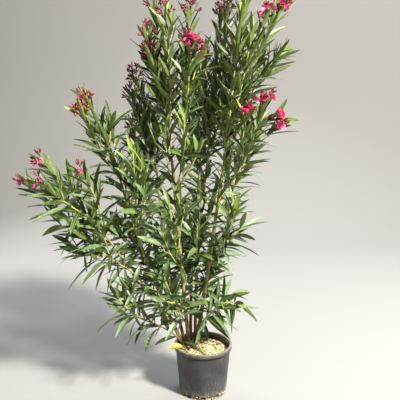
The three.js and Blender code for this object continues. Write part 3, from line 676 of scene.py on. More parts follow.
def pot_profile():
    lip_foot = POT.height - POT.lip_height
    foot = POT.foot_radius - POT.plinth_inset
    inner_top = POT.body_top_radius - POT.wall
    edge, inner_edge, roll = POT.edge, POT.inner_edge, POT.roll
    return [
        (0, 0),
        *rounded((foot - edge, edge), edge, -90, 0, 3),
        (foot, POT.plinth_height - edge),
        *rounded((POT.foot_radius - edge, POT.plinth_height + edge), edge, -60, 0, 3),
        (lerp(POT.foot_radius, POT.body_top_radius, 0.5), lerp(POT.plinth_height, lip_foot, 0.5)),
        (POT.body_top_radius - 0.0004, lip_foot - POT.fillet),
        (POT.body_top_radius + 0.0006, lip_foot),
        *rounded((POT.rim_radius - 0.0035, lip_foot + edge), edge, -90, 0, 3),
        (POT.rim_radius - 0.0008, POT.height - POT.lip_band),
        *rounded((POT.rim_radius - roll, POT.height - roll), roll, 0, 90, 6),
        *rounded((inner_top + edge, POT.height - inner_edge), inner_edge, 90, 180, 4),
        (inner_top - 0.001, POT.height - 0.007),
        (foot - POT.wall, POT.floor + POT.fillet),
        (foot - POT.wall - POT.fillet, POT.floor),
        (0, POT.floor),
    ]


def drain_cutters():
    """One box for each drain slot, through the corner between the pot's wall and its floor."""
    boxes = bmesh.new()
    for i in range(DRAIN.count):
        turn = Matrix.Rotation(2 * math.pi * (i + 0.5) / DRAIN.count, 4, "Z")
        place = turn @ Matrix.Translation((POT.foot_radius + DRAIN.depth / 2, 0, 0))
        size = Matrix.Diagonal((DRAIN.depth * 2, DRAIN.width, DRAIN.height * 2, 1))
        bmesh.ops.create_cube(boxes, size=1, matrix=place @ size)
    mesh = bpy.data.meshes.new("drain_slots")
    boxes.to_mesh(mesh)
    boxes.free()
    return add_object("drain_slots", mesh)


def make_pot():
    heap = Heap()
    corners, faces = turned(pot_profile(), POT.sides)
    heap.add(corners, faces)
    pot = heap.piece("pot_shell", ["pot_plastic"], "pot", ["pot"], sharp=POT.sharp)
    cutter = drain_cutters()
    cut = pot.modifiers.new("drain slots", "BOOLEAN")
    cut.operation = "DIFFERENCE"
    cut.solver = "EXACT"
    cut.object = cutter
    shaped = bpy.data.meshes.new_from_object(pot.evaluated_get(bpy.context.evaluated_depsgraph_get()))
    pot.modifiers.clear()
    pot.data = shaped
    shaped.set_sharp_from_angle(angle=math.radians(POT.sharp))
    bpy.data.objects.remove(cutter)


# Potting mix


def inner_radius(z):
    """How far the inside of the pot's wall stands from the axis."""
    low, high = POT.floor + POT.fillet, POT.height - 0.006
    foot = POT.foot_radius - POT.plinth_inset - POT.wall
    return lerp(foot, POT.body_top_radius - POT.wall - 0.001, (z - low) / (high - low))


def mix_height(x, y):
    """The level of the mix, which is heaped round the canes."""
    away = math.hypot(x - CROWN.x, y - CROWN.y) - MIX.crown_radius
    return lerp(MIX.crown_level, MIX.wall_level, smooth_step(away, 0, MIX.slope_length))


def make_mix():
    """The bed of fine mix: uneven on top, on the pot's floor, and drawn in behind the drain slots."""
    edge = inner_radius(MIX.wall_level) - 0.0008
    bottom = POT.floor + GAP
    low = inner_radius(bottom + 0.008) - 0.001
    profile = [(0, bottom), (low - MIX.drawn_in, bottom), (low - MIX.drawn_in, bottom + DRAIN.height)]
    profile += [(low, bottom + 1.6 * DRAIN.height)]
    profile += [(edge * k / MIX.rings, MIX.wall_level) for k in range(MIX.rings, 0, -1)]
    corners, faces = turned(profile + [(0, MIX.wall_level)], MIX.sides)
    for corner in corners:
        if corner[2] < MIX.wall_level - MIX.under_grains:
            continue
        lumps = noise.noise(Vector((corner[0] * 90, corner[1] * 90, 0)))
        swell = noise.noise(Vector((corner[0] * 26, corner[1] * 26, 7)))
        relief = MIX.relief * (0.5 * lumps + 0.9 * swell)
        corner[2] = mix_height(corner[0], corner[1]) + relief - MIX.under_grains
    heap = Heap()
    heap.add(corners, faces)
    heap.piece("mix_bed", ["mix_bed"], "mix", ["soil"])


def grain_shape(draws, subdivisions, finish):
    """A small broken stone: a ball whose corners are pushed about."""
    ball = bmesh.new()
    bmesh.ops.create_icosphere(ball, subdivisions=subdivisions, radius=1)
    corners = [corner.co * (1 + draws.jitter(0.24)) for corner in ball.verts]
    faces = [[corner.index for corner in face.verts] for face in ball.faces]
    ball.free()
    return Shape(corners, faces, [finish] * len(faces))


def any_frame(draws):
    """Three directions square to each other, turned any way."""
    along = Vector((draws.jitter(1), draws.jitter(1), draws.jitter(1) + 0.001)).normalized()
    right = square_to(along)
    return right, along.cross(right), along


def strew(heap, shape, stones, draws):
    """Adds a copy of the shape for each stone, turned any way. A stone is its place and its size."""
    roots, frames, sizes = [], [], []
    for root, size in stones:
        roots.append(root)
        frames.append(any_frame(draws))
        sizes.append(size)
    heap.add_many(shape, shape.placed(roots, *zip(*frames), sizes))


def stones_on_bed(count, sizes, draws):
    """Places and sizes of stones that lie on the bed, within the pot's wall."""
    for _ in range(count):
        away = (inner_radius(MIX.wall_level) - MIX.off_wall) * math.sqrt(draws.next())
        angle = draws.between(0, 2 * math.pi)
        x, y = away * math.cos(angle), away * math.sin(angle)
        size = draws.between(*sizes)
        yield (x, y, mix_height(x, y) + size * draws.between(-0.2, 0.6)), size


def make_grains():
    """Gritty granules strewn over the bed, each kind of stone in its own colour."""
    draws = Draws(301)
    heap = Heap()
    for count, subdivisions, sizes in STREWN.values():
        for number, share in enumerate(STONES.values()):
            shape = grain_shape(draws, subdivisions, number)
            strew(heap, shape, stones_on_bed(int(count * share), sizes, draws), draws)
    heap.piece("mix_grains", list(STONES), "mix", [], sharp=30)


def is_at_slot(angle, height):
    """True where a drain slot leaves the foot open, or almost."""
    pitch = 2 * math.pi / DRAIN.count
    aside = abs(angle % pitch - pitch / 2) * POT.foot_radius
    margin = CRUMBS.sizes[1]
    return height < DRAIN.height + margin and aside < DRAIN.width / 2 + margin


def stones_on_foot(number, draws):
    """Places and sizes of crumbs on the outside of the pot, clear of its drain slots."""
    for _ in range(CRUMBS.count):
        angle = draws.between(0, 2 * math.pi)
        heaped = 0.7 + 0.6 * noise.noise(Vector((3 * angle, 0, number)))
        height = CRUMBS.reach * draws.next() ** 2 * heaped
        wall = POT.foot_radius - (POT.plinth_inset if height < POT.plinth_height else 0)
        size = draws.between(*CRUMBS.sizes)
        if not is_at_slot(angle, height):
            yield (wall * math.cos(angle), wall * math.sin(angle), max(size, height)), size


def make_crumbs():
    """Crumbs of dried mix that cling to the pot's foot, thickest at its lower edge."""
    draws = Draws(302)
    heap = Heap()
    finishes = ["grain_cream", "grain_brown", "grain_dark"]
    for number in range(len(finishes)):
        strew(heap, grain_shape(draws, 1, number), stones_on_foot(number, draws), draws)
    heap.piece("foot_crumbs", finishes, "mix", [], sharp=30)


# Canes and boughs


class Limb:
    """A cane or bough: its axis, bowed sideways at its middle, and its girth."""

    def __init__(self, start, tip, bow, girth, flared):
        tip = Vector(tip)
        bend = start.lerp(tip, 0.5) + Vector((2 * bow[0], 2 * bow[1], 0))
        self.path = Path(start, bend, tip)
        self.girth = girth
        self.flared = flared
        self.line = self.path.points(LIMB.steps)

    def radius(self, share):
        flare = LIMB.flare * math.exp(-share * self.path.length / LIMB.flare_height) if self.flared else 0
        return lerp(self.girth[0], self.girth[1], share) * (1 + flare)


def grow_limbs():
    limbs = {}
    level = MIX.crown_level + GAP - LIMB.sunk
    for name, cane in CANES.items():
        limbs[name] = Limb(Vector((*cane.foot, level)), cane.tip, cane.bow, cane.girth, True)
    for name, bough in BOUGHS.items():
        start = limbs[bough.on].path.at(bough.at)
        limbs[name] = Limb(start, bough.tip, bough.bow, bough.girth, False)
    return limbs


def bark_relief(along, around, draws, length):
    """How far the bark stands out, as a share of its radius: rings and scars where leaves stood."""
    ridges = np.sin(5 * around + 3 * np.sin(along * 9)) + 0.7 * np.sin(9 * around - along * 33)
    knobbles = np.sin(along * 61 + 2 * around) * np.sin(along * 23 + draws.next() * 6)
    relief = BARK.ridge * ridges + BARK.knobble * knobbles
    place, turn = draws.between(0.3, 1) * BARK.node_every, draws.between(0, 6)
    while place < length:
        ring = np.exp(-(((along - place) / BARK.node_length) ** 2))
        relief = relief + BARK.node_swell * ring
        below = np.exp(-(((along - place + BARK.scar_length) / BARK.scar_length) ** 2))
        for third in range(3):
            aside = np.angle(np.exp(1j * (around - turn - 2 * np.pi * third / 3)))
            relief = relief + BARK.scar_swell * below * np.exp(-((aside / BARK.scar_width) ** 2))
        place += BARK.node_every * (1 + draws.jitter(0.18))
        turn += math.pi / 3
    return relief


def make_limb(name, limb, seed):
    draws = Draws(seed)
    rings = max(LIMB.fewest_rings, int(limb.path.length / LIMB.ring_every))
    shares = np.arange(rings + 1) / rings
    around = 2 * np.pi * np.arange(LIMB.sides) / LIMB.sides
    relief = bark_relief(shares[:, None] * limb.path.length, around[None, :], draws, limb.path.length)
    radii = np.array([limb.radius(share) for share in shares])[:, None] * BARK.round * (1 + relief)
    heap = Heap()
    faces = tube_faces(rings + 1, LIMB.sides)
    heap.add(swept(limb.path, shares, radii, LIMB.sides), faces)
    kind = name.split("_")[0]
    heap.piece("bark_" + name, [kind + "_bark"], kind, [name], sharp=60)


def make_limbs():
    for seed, (name, limb) in enumerate(LIMBS.items(), 401):
        make_limb(name, limb, seed)


# Shoots, by the rule that the solids were grown with


class Shoot:
    """A shoot of the solids, with the levels that its side shoots grow from."""

    def __init__(self, path, radius, right, turn):
        self.path, self.radius, self.right, self.turn = path, radius, right, turn
        self.line = path.points(4)
        self.ring(0, radius)
        leafy = SHOOT.leafy * path.length
        count = max(2, int(leafy / SHOOT.spacing + 0.5))
        self.levels = [self.level(1 - leafy * (1 - (k + 0.3) / count) / path.length) for k in range(count)]

    def ring(self, share, radius):
        heading = self.path.heading(share)
        self.right = (self.right - heading * self.right.dot(heading)).normalized()
        return ring_around(self.path.at(share), self.right, heading.cross(self.right), radius, 3, self.turn)

    def radius_at(self, share):
        return lerp(self.radius, SHOOT.tip_radius, share)

    def level(self, share):
        above = min(1, share + SHOOT.level_height / self.path.length)
        self.turn -= math.pi / 3
        low = self.ring(share, self.radius_at(share))
        return SimpleNamespace(
            axis=self.path.heading(share), low=low, high=self.ring(above, self.radius_at(above))
        )

    def root_on(self, level, face):
        """The corners of a face of a level, their middle, and the way that the face looks."""
        rings = self.levels[level]
        corners = [rings.high[face], rings.low[face], rings.high[(face + 1) % 3]]
        normal = (corners[2] - corners[1]).cross(corners[0] - corners[1]).normalized()
        outward = (normal - rings.axis * normal.dot(rings.axis)).normalized()
        return corners, sum(corners, Vector()) / 3, outward


def distance_to(point, line):
    """How near a point is to a line of straight stretches."""
    best = math.inf
    for a, b in zip(line, line[1:]):
        stretch = b - a
        share = min(1, max(0, (point - a).dot(stretch) / stretch.length_squared))
        best = min(best, (a + stretch * share - point).length)
    return best


def shoot_is_clear(shoot, name, shoots):
    others = [other for mass, grown in shoots.items() if mass != name for other in grown]
    for point in shoot.line[1:]:
        for limb in LIMBS.values():
            if distance_to(point, limb.line) <= limb.girth[0] + SHOOT.clearance:
                return False
        if any(distance_to(point, other.line) <= SHOOT.clearance for other in others):
            return False
    return True


def leading_shoot(mass, draws):
    limb = LIMBS[mass.on]
    reach = Vector(mass.tip)
    start = limb.path.at(mass.at)
    heading = limb.path.heading(mass.at)
    if mass.at == 1:
        start = start + heading * GAP
    away = (reach - start).normalized()
    first = heading if mass.at == 1 else (away - UP * SHOOT.hang).normalized()
    length = (reach - start).length
    path = Path(start, start + first * (SHOOT.bend * length), reach)
    return Shoot(path, SHOOT.stem_radius, square_to(first), draws.next() * 2 * math.pi), away, length


def side_shoot(leader, number, mass, away, length, draws):
    level = min(number, len(leader.levels) - 1)
    corners, foot, outward = leader.root_on(level, SHOOT.side_faces[number])
    out = mass.spread * (1 + draws.jitter(SHOOT.uneven))
    back = length * (SHOOT.least_back + SHOOT.more_back * draws.next())
    end = Vector(mass.tip) + outward * out - away * back
    bend = foot + outward * (SHOOT.side_out * out) + away * (SHOOT.side_rise * length)
    return Shoot(Path(foot, bend, end), SHOOT.side_radius, corners[0] - foot, 0)


def grow_shoots():
    shoots = {}
    for name, mass in MASSES.items():
        draws = Draws(mass.seed)
        leader, away, length = leading_shoot(mass, draws)
        shoots[name] = [leader]
        for number in range(mass.shoots - 1):
            side = side_shoot(leader, number, mass, away, length, draws)
            if shoot_is_clear(side, name, shoots):
                shoots[name].append(side)
    return shoots


# Leaves


class BladeForm:
    """A thin closed blade: a top of three strips, the middle one its rib, and an underside of two."""

    TOP, RIB, UNDER = range(3)

    def __init__(self, stations, width_at, inner):
        self.shares = np.arange(stations) / stations
        self.widths = np.array([width_at(share) for share in self.shares])
        self.inner = inner
        self.faces = [[0, 1, 2, 3, 4]]
        self.parts = [self.UNDER]
        strips = (self.TOP, self.RIB, self.TOP, self.UNDER, self.UNDER)
        tip = 5 * stations
        for column, part in enumerate(strips):
            after = (column + 1) % 5
            for low in range(0, tip - 5, 5):
                self.faces.append([low + column, low + 5 + column, low + 5 + after, low + after])
                self.parts.append(part)
            self.faces.append([tip - 5 + column, tip, tip - 5 + after])
            self.parts.append(part)

    def centres(self, blades, shares):
        t = shares[None, :]
        length = blades.length[:, None]
        lift = length * blades.arch[:, None] * 4 * t * (1 - t)
        middle = blades.root[:, None] + blades.along[:, None] * (length * t)[..., None]
        middle = middle + blades.upper[:, None] * lift[..., None]
        middle[..., 2] -= length * blades.droop[:, None] * t**2
        return middle

    def corners(self, blades):
        t = self.shares[None, :]
        middle = self.centres(blades, self.shares)
        turn = (blades.twist[:, None] * t)[..., None]
        side = blades.right[:, None] * np.cos(turn) + blades.upper[:, None] * np.sin(turn)
        face = blades.upper[:, None] * np.cos(turn) - blades.right[:, None] * np.sin(turn)
        half = (blades.width[:, None] / 2 * self.widths[None])[..., None]
        fold = blades.fold[:, None, None]
        edges = (-1, -self.inner, self.inner, 1)
        across = [middle + side * (x * half) + face * (abs(x) * fold * half) for x in edges]
        depth = (blades.keel[:, None] * (1 - 0.75 * t))[..., None]
        rings = np.stack([*across, middle - face * depth], axis=2)
        tip = self.centres(blades, np.array([1.0]))
        return np.concatenate([rings.reshape(len(rings), -1, 3), tip], axis=1)


Blade = namedtuple("Blade", "root along right upper length width arch droop twist fold keel tint")


def stacked(blades):
    """The blades' values as arrays, one for each field."""
    values = {field: np.array([getattr(blade, field) for blade in blades]) for field in Blade._fields}
    return SimpleNamespace(**values)


def only(blades, keep):
    """The blades that keep says True for."""
    return SimpleNamespace(**{field: values[keep] for field, values in vars(blades).items()})


def leaf_width(share):
    """Half width along a leaf: a short stalk, widest just below the middle, and a fine tip."""
    return 0.09 + 0.91 * math.sin(math.pi * share**0.86) ** 0.85 if share > 0 else 0.09


LEAF_FORM = BladeForm(LEAF.stations, leaf_width, LEAF.inner)


def growth_frame(axis, outward, lean, roll):
    along = axis * math.cos(lean) + outward * math.sin(lean)
    right = Matrix.Rotation(roll, 3, along) @ axis.cross(outward)
    return along, right, along.cross(right)


def whorl(centre, axis, across, turn, radius, size, height, raised, tint, draws):
    """Three leaves round a twig: wide open low on it, and close to it at the tip."""
    leaves = []
    upper = axis.cross(across)
    open_lean = lerp(OPEN_LEAN.low, OPEN_LEAN.high, raised)
    longer, wider = lerp(LOW_LEAF.length, 1, raised), lerp(LOW_LEAF.width, 1, raised)
    limp = LEAF.droop * lerp(LOW_LEAF.droop, 1, raised) * (1 - 0.75 * height)
    for third in range(3):
        angle = turn + 2 * math.pi * third / 3 + draws.jitter(LEAF.uneven)
        outward = across * math.cos(angle) + upper * math.sin(angle)
        lean = math.radians(lerp(open_lean, LEAF.tip_lean, height**0.8) + draws.jitter(LEAF.lean_uneven))
        along, right, over = growth_frame(axis, outward, lean, math.radians(draws.jitter(LEAF.roll)))
        length = LEAF.length * size * longer * (1 + draws.jitter(LEAF.uneven))
        leaves.append(Blade(
            root=centre + outward * (radius * 0.7), along=along, right=right, upper=over, length=length,
            width=LEAF.width * size**0.8 * wider * (1 + draws.jitter(LEAF.uneven)),
            arch=LEAF.arch + draws.jitter(LEAF.arch), droop=limp * draws.between(0.3, 1.7),
            twist=draws.jitter(LEAF.twist),
            fold=LEAF.fold * draws.between(0.5, 1.5), keel=LEAF.keel, tint=tint,
        ))
    return leaves


def size_at(height):
    """Leaves are longest about halfway up a shoot."""
    return lerp(1, LEAF.shortest, abs(height - LEAF.longest_at) / (1 - LEAF.longest_at))


def tint_at(height, raised, draws):
    """Old dark leaves low on a shoot and low on the plant, many low leaves a paler grey-green for dust and a
    painted sheen, and yellow-green ones at high tips.
    """
    # Low leaves often take the paler grey-green: dust, and a painted sheen.
    if draws.next() < LOW_LEAF.dust_and_sheen * (1 - raised):
        return DUST_AND_SHEEN
    youth = height * lerp(0.58, 1, raised) + draws.jitter(0.08)
    if youth > 0.88:
        return TIP if draws.next() < 0.6 else YOUNG
    if youth > 0.62:
        return YOUNG if draws.next() < 0.5 else MATURE
    return DEEP if draws.next() < 0.42 else MATURE


def leafy_stem(path, radius_at, start, size, draws, crowded=True):
    """Whorls of leaves along a stem from start to its tip, crowded and closed at the tip or not."""
    leaves, nodes = [], []
    across = square_to(path.heading(start))
    turn = draws.between(0, 2 * math.pi)
    place = start * path.length
    while place < path.length - 0.002:
        share = place / path.length
        height = max(0, (share - start) / (1 - start)) * (1 if crowded else LEAF.uncrowded)
        axis = path.heading(share)
        across = (across - axis * across.dot(axis)).normalized()
        centre = path.at(share)
        raised = smooth_step(centre.z, OPEN_LEAN.start, OPEN_LEAN.stop)
        tint = tint_at(height, raised, draws)
        leaves += whorl(
            centre, axis, across, turn, radius_at(share), size * size_at(height), height, raised, tint, draws
        )
        nodes.append((share, across, turn))
        apart = lerp(LEAF.spacing, LEAF.tip_spacing, height**3)
        place += apart * (1 + draws.jitter(0.15)) * (0.5 + 0.5 * size)
        turn += math.pi / 3
    return leaves, nodes


def side_twig(shoot, node, draws):
    """A short leafy twig out of a leaf's axil."""
    share, across, turn = node
    axis = shoot.path.heading(share)
    angle = turn + 2 * math.pi * int(draws.next() * 3) / 3
    outward = across * math.cos(angle) + axis.cross(across) * math.sin(angle)
    lean = math.radians(SIDE_TWIG.lean + draws.jitter(SIDE_TWIG.lean_uneven))
    along, _, _ = growth_frame(axis, outward, lean, 0)
    length = SIDE_TWIG.length * draws.between(*SIDE_TWIG.lengths)
    start = shoot.path.at(share)
    bend = start + along * (SIDE_TWIG.bend * length)
    return Path(start, bend, bend + (along + axis * SIDE_TWIG.lift).normalized() * (0.5 * length))


def grow_twig(path, form, leaves, twigs, draws):
    """Adds a finer twig and its leaves to those of its mass."""
    grown, _ = leafy_stem(path, lambda share: form.radius, form.bare, form.leaf, draws)
    leaves.extend(grown)
    twigs.append((path, form.radius, form.radius * form.taper, []))


def grow_foliage(name, mass, shoots):
    """All twigs and leaves of one mass. Each twig is a path with its radii at both ends."""
    draws = Draws(mass.seed + 900)
    leaves, twigs = [], []
    for number, shoot in enumerate(shoots):
        start = LEAF.bare if number == 0 and mass.at == 1 else LEAF.side_bare
        grown, nodes = leafy_stem(shoot.path, shoot.radius_at, start, 1, draws)
        leaves += grown
        twigs.append((shoot.path, shoot.radius, SHOOT.tip_radius, [node[0] for node in nodes]))
        for node in nodes:
            if node[0] > SIDE_TWIG.highest or draws.next() > SIDE_TWIG.share:
                continue
            grow_twig(side_twig(shoot, node, draws), SIDE_TWIG, leaves, twigs, draws)
    for path in flowering_twigs(name):
        grow_twig(path, FLOWERING_TWIG, leaves, twigs, draws)
    kept = THINNED.get(name, 1)
    return [leaf for leaf in leaves if draws.next() < kept], twigs


def limb_leaves(limb, draws):
    """Leaves that still stand on the upper part of a cane or bough."""
    start = LIMB_LEAVES.start if limb.path.length > LIMB_LEAVES.short else LIMB_LEAVES.short_start
    grown, _ = leafy_stem(limb.path, limb.radius, start, 1.0, draws, crowded=False)
    return [leaf for leaf in grown if draws.next() < LIMB_LEAVES.share]


# The shares along a leaf where its place is compared with the limbs and with the pot
LIMB_PROBES = np.array([0.3, 0.45, 0.6, 0.75, 0.9])
POT_PROBES = np.linspace(0.15, 1, 14)


def clear_of_limbs(blades):
    """True for each blade that doesn't run into a cane or bough."""
    probes = LEAF_FORM.centres(blades, LIMB_PROBES)
    clear = np.ones(len(probes), dtype=bool)
    for limb in LIMBS.values():
        for a, b in zip(limb.line, limb.line[1:]):
            stretch = np.array(b - a)
            share = np.clip((probes - np.array(a)) @ stretch / (stretch @ stretch), 0, 1)
            gap = np.linalg.norm(probes - np.array(a) - share[..., None] * stretch, axis=2)
            clear &= (gap > limb.girth[0] + LEAF.clearance).all(axis=1)
    return clear


def clear_of_pot(blades):
    """True for each blade that stays out of the pot's wall and above the mix."""
    probes = LEAF_FORM.centres(blades, POT_PROBES)
    away, z = np.hypot(probes[..., 0], probes[..., 1]), probes[..., 2]
    over_wall = (away > POT.body_top_radius - 2 * LEAF.clearance) & (away < POT.rim_radius + LEAF.clearance)
    in_wall = over_wall & (z < POT.height + LEAF.clearance)
    buried = (away < POT.body_top_radius) & (z < MIX.crown_level + LEAF.clearance)
    return ~(in_wall | buried).any(axis=1)


def add_blades(heap, form, blades, finish_of):
    """finish_of gives the finish of each part of a blade, by its tint."""
    corners = form.corners(blades)
    for tint in sorted(set(blades.tint.tolist())):
        shape = Shape([], form.faces, [finish_of(part, tint) for part in form.parts])
        heap.add_many(shape, corners[blades.tint == tint])


def leaf_finish(part, tint):
    return {BladeForm.TOP: tint, BladeForm.RIB: len(TINTS), BladeForm.UNDER: len(TINTS) + 1}[part]


def make_leaves(sprays):
    """One joined piece of leaves for each spray of masses."""
    finishes = [*TINTS, "leaf_rib", "leaf_under"]
    for spray, (leaves, nodes) in sprays.items():
        blades = stacked(leaves)
        blades = only(blades, clear_of_limbs(blades) & clear_of_pot(blades))
        heap = Heap()
        add_blades(heap, LEAF_FORM, blades, leaf_finish)
        heap.piece("leaves_" + spray, finishes, "foliage", nodes)


def make_twigs(twigs, nodes):
    """Every shoot and twig, swollen a little where leaves stand, and brown low on a leading shoot."""
    heap = Heap()
    for path, thick, thin, joints in twigs:
        rings = max(5, int(path.length / TWIG.ring_every))
        shares = np.arange(rings + 1) / rings
        radii = lerp(thick, thin, shares)
        for joint in joints:
            away = (shares - joint) * path.length / TWIG.node_length
            radii = radii * (1 + TWIG.node_swell * np.exp(-(away**2)))
        faces = tube_faces(rings + 1, TWIG.sides)
        young = thick < SHOOT.stem_radius
        finishes = [1 if young or i > len(faces) * TWIG.brown else 0 for i in range(len(faces))]
        heap.add(swept(path, shares, radii, TWIG.sides), faces, finishes)
    heap.piece("twigs", ["twig_brown", "twig_green"], "foliage", nodes)


LIMBS = grow_limbs()
SHOOTS = grow_shoots()


def make_foliage():
    sprays, twigs = {}, []
    for name, mass in MASSES.items():
        leaves, grown = grow_foliage(name, mass, SHOOTS[name])
        spray = sprays.setdefault(mass.spray, ([], []))
        spray[0].extend(leaves)
        spray[1].append("mass_" + name)
        twigs += grown
    bare = ([], [])
    for seed, limb in enumerate(LIMBS.values(), 501):
        bare[0].extend(limb_leaves(limb, Draws(seed)))
    sprays["on_canes"] = bare
    make_leaves(sprays)
    make_twigs(twigs, ["mass_" + name for name in MASSES])


# Blossom

FLOWER = SimpleNamespace(
    petals=5, petal_length=0.028, petal_width=0.034, inner=0.74, tube_length=0.018, tube_radius=0.0042,
    counts={"open": (3, 6), "mixed": (6, 9), "withered": (7, 11)}, few=(1, 3), reach=0.050, rise=0.034,
    limp=0.55, withered_scale=0.74, pale_below=1.45, mostly_faded=0.92, seldom_faded=0.06,
)
BUD = SimpleNamespace(
    length=0.024, radius=0.0044, branches=(6, 10), few_branches=(2, 4), reach=0.072, rise=0.072, each=(4, 7),
    apart=0.0085, ahead=0.012, fork=0.008,
)
STALK = SimpleNamespace(sides=4, rings=4, radii=(0.0013, 0.0010))
# A cluster narrows towards its top, where its flowers or buds look up
CLUSTER = SimpleNamespace(
    turn=2.4, narrowing=0.55, closest=0.55, foot=0.012, spread=0.55, upright=0.35, outward=1.05, closing=0.6,
)


def petal_width(share):
    return 0.14 + 0.86 * math.sin(math.pi * min(1, share * 0.72 + 0.06)) ** 0.8


PETAL_FORM = BladeForm(5, petal_width, 0.5)
SEPAL_FORM = BladeForm(2, petal_width, 0.5)


def local_blade(angle, depth, away, lean, length, width, arch, fold, twist=0, keel=0.0003):
    """A petal or sepal in a flower's own frame, with z along the flower."""
    outward = Vector((math.cos(angle), math.sin(angle), 0))
    along = UP * math.cos(lean) + outward * math.sin(lean)
    right = UP.cross(outward)
    return Blade(
        root=UP * depth + outward * away, along=along, right=right, upper=along.cross(right), length=length,
        width=width, arch=arch, droop=0, twist=twist, fold=fold, keel=keel, tint=0,
    )


def add_petals(heap, blades, finishes, form=PETAL_FORM):
    """finishes holds those of a petal's top, its rib and its underside."""
    shape = Shape([], form.faces, [finishes[part] for part in form.parts])
    heap.add_many(shape, form.corners(stacked(blades)))


def add_sepals(heap, finish, **form):
    """Five sepals round the foot of a flower or bud."""
    sepals = [local_blade(2 * math.pi * k / 5, fold=0.3, **form) for k in range(5)]
    add_petals(heap, sepals, (finish, finish, finish), SEPAL_FORM)


def add_tube(heap, stations, sides, finish, twist=0.0):
    """A turned form of (height, radius) stations, closed at both ends."""
    angles = 2 * np.pi * np.arange(sides) / sides
    rings = [
        [(r * math.cos(a + twist * i), r * math.sin(a + twist * i), z) for a in angles]
        for i, (z, r) in enumerate(stations)
    ]
    faces = tube_faces(len(rings), sides)
    heap.add(rings, faces, [finish] * len(faces))


def flower_shape(seed, withered):
    """An open double flower: calyx, funnel, a pinwheel of petals, a smaller one in it, and a fringe."""
    draws = Draws(seed)
    heap = Heap()
    rose, deep, back, throat, calyx = range(5)
    lip = FLOWER.tube_length
    add_tube(heap, [(0, 0.0016), (lip * 0.45, 0.0019), (lip, FLOWER.tube_radius)], 8, back)
    add_sepals(heap, calyx, depth=0.001, away=0.0014, lean=0.32, length=0.008, width=0.0036, arch=-0.05)
    limp = FLOWER.limp if withered else 1
    for size, lean, tint, turn in ((1, 1.18, rose, 0), (FLOWER.inner, 0.78, deep, 0.6)):
        petals = []
        for k in range(FLOWER.petals):
            angle = 2 * math.pi * k / FLOWER.petals + turn + draws.jitter(0.1)
            petals.append(local_blade(
                angle, depth=lip - 0.001, away=FLOWER.tube_radius * 0.8,
                lean=lean * limp + draws.jitter(0.16),
                length=FLOWER.petal_length * size * (1 + draws.jitter(0.1)),
                width=FLOWER.petal_width * size * limp, arch=-0.10 - draws.next() * 0.12, fold=0.28,
                twist=0.55 + draws.jitter(0.3),
            ))
        add_petals(heap, petals, (tint, tint, back))
    fringe = [
        local_blade(
            2 * math.pi * k / 7, depth=lip, away=0.0018, lean=0.3 + draws.jitter(0.12), length=0.010,
            width=0.0042, arch=0.05, fold=0.2, twist=0.3,
        )
        for k in range(7)
    ]
    add_petals(heap, fringe, (deep, throat, throat))
    return heap.shape()


def bud_shape():
    """A closed bud: a spindle with the spiral of its rolled petals, in its calyx."""
    heap = Heap()
    bud, calyx = 0, 1
    stations = [(0, 0.0014), (0.12, 0.0022), (0.34, 0.62), (0.58, 1), (0.8, 0.68), (0.96, 0.22), (1, 0.06)]
    scaled = [(z * BUD.length, r if i < 2 else r * BUD.radius) for i, (z, r) in enumerate(stations)]
    add_tube(heap, scaled, 7, bud, 0.3)
    add_sepals(heap, calyx, depth=0.0005, away=0.0012, lean=0.18, length=0.0075, width=0.0034, arch=-0.03)
    return heap.shape()


def cluster_heads(path, count, reach, rise, draws):
    """Where the flowers of one cluster sit, and the way that each looks."""
    axis = path.heading(1)
    across = square_to(axis)
    upper = axis.cross(across)
    heads = []
    for k in range(count):
        angle = k * CLUSTER.turn + draws.jitter(0.3)
        share = (k + 0.5) / count
        away = reach * (1 - CLUSTER.narrowing * share) * draws.between(CLUSTER.closest, 1)
        outward = across * math.cos(angle) + upper * math.sin(angle)
        root = path.tip + axis * (CLUSTER.foot + rise * share) + outward * away * CLUSTER.spread
        look = axis * (CLUSTER.upright + share) + outward * (CLUSTER.outward - CLUSTER.closing * share)
        heads.append((root, look.normalized()))
    return heads


def head_frames(heads, draws):
    frames = []
    for _, look in heads:
        right = square_to(look)
        right = Matrix.Rotation(draws.between(0, 6.28), 3, look) @ right
        frames.append((right, look.cross(right), look))
    return frames


def flowering_twigs(name):
    """The finer twigs of a mass that end in buds, each as a path that leaves its leading shoot."""
    leader = SHOOTS[name][0].path
    twigs = []
    for share, tip in FLOWERING_TWIGS.get(name, ()):
        start, tip = leader.at(share), Vector(tip)
        aside = Vector((tip.x - start.x, 0, 0)) * FLOWERING_TWIG.bow
        twigs.append(Path(start, start.lerp(tip, 0.5) + aside, tip))
    return twigs


def kind_of_tip(mass, number):
    """What the tip of a shoot bears. In a mixed mass only the first side shoot is in flower."""
    if number >= mass.heads:
        return "none"
    if mass.blossom == "mixed":
        return "open" if number == 1 else "buds"
    return mass.blossom


def flower_count(mass, tip, draws):
    """How many flowers stand in a cluster: few low on the plant, and a round head in a mixed mass."""
    if mass.blossom != "withered" and tip.z < FLOWER.pale_below:
        return int(draws.between(*FLOWER.few))
    return int(draws.between(*FLOWER.counts[mass.blossom]))


def stalk_path(tip, root):
    middle = tip.lerp(root, 0.5)
    return Path(tip, Vector((lerp(tip.x, middle.x, 0.5), lerp(tip.y, middle.y, 0.5), middle.z + 0.003)), root)


def head_tone(mass, head, draws):
    """Which of the joined blossoms a flower goes into."""
    if mass.blossom == "withered":
        return "faded" if draws.next() < FLOWER.mostly_faded else "pale"
    if draws.next() < FLOWER.seldom_faded:
        return "faded"
    return "pale" if head[0].z < FLOWER.pale_below else "rose"


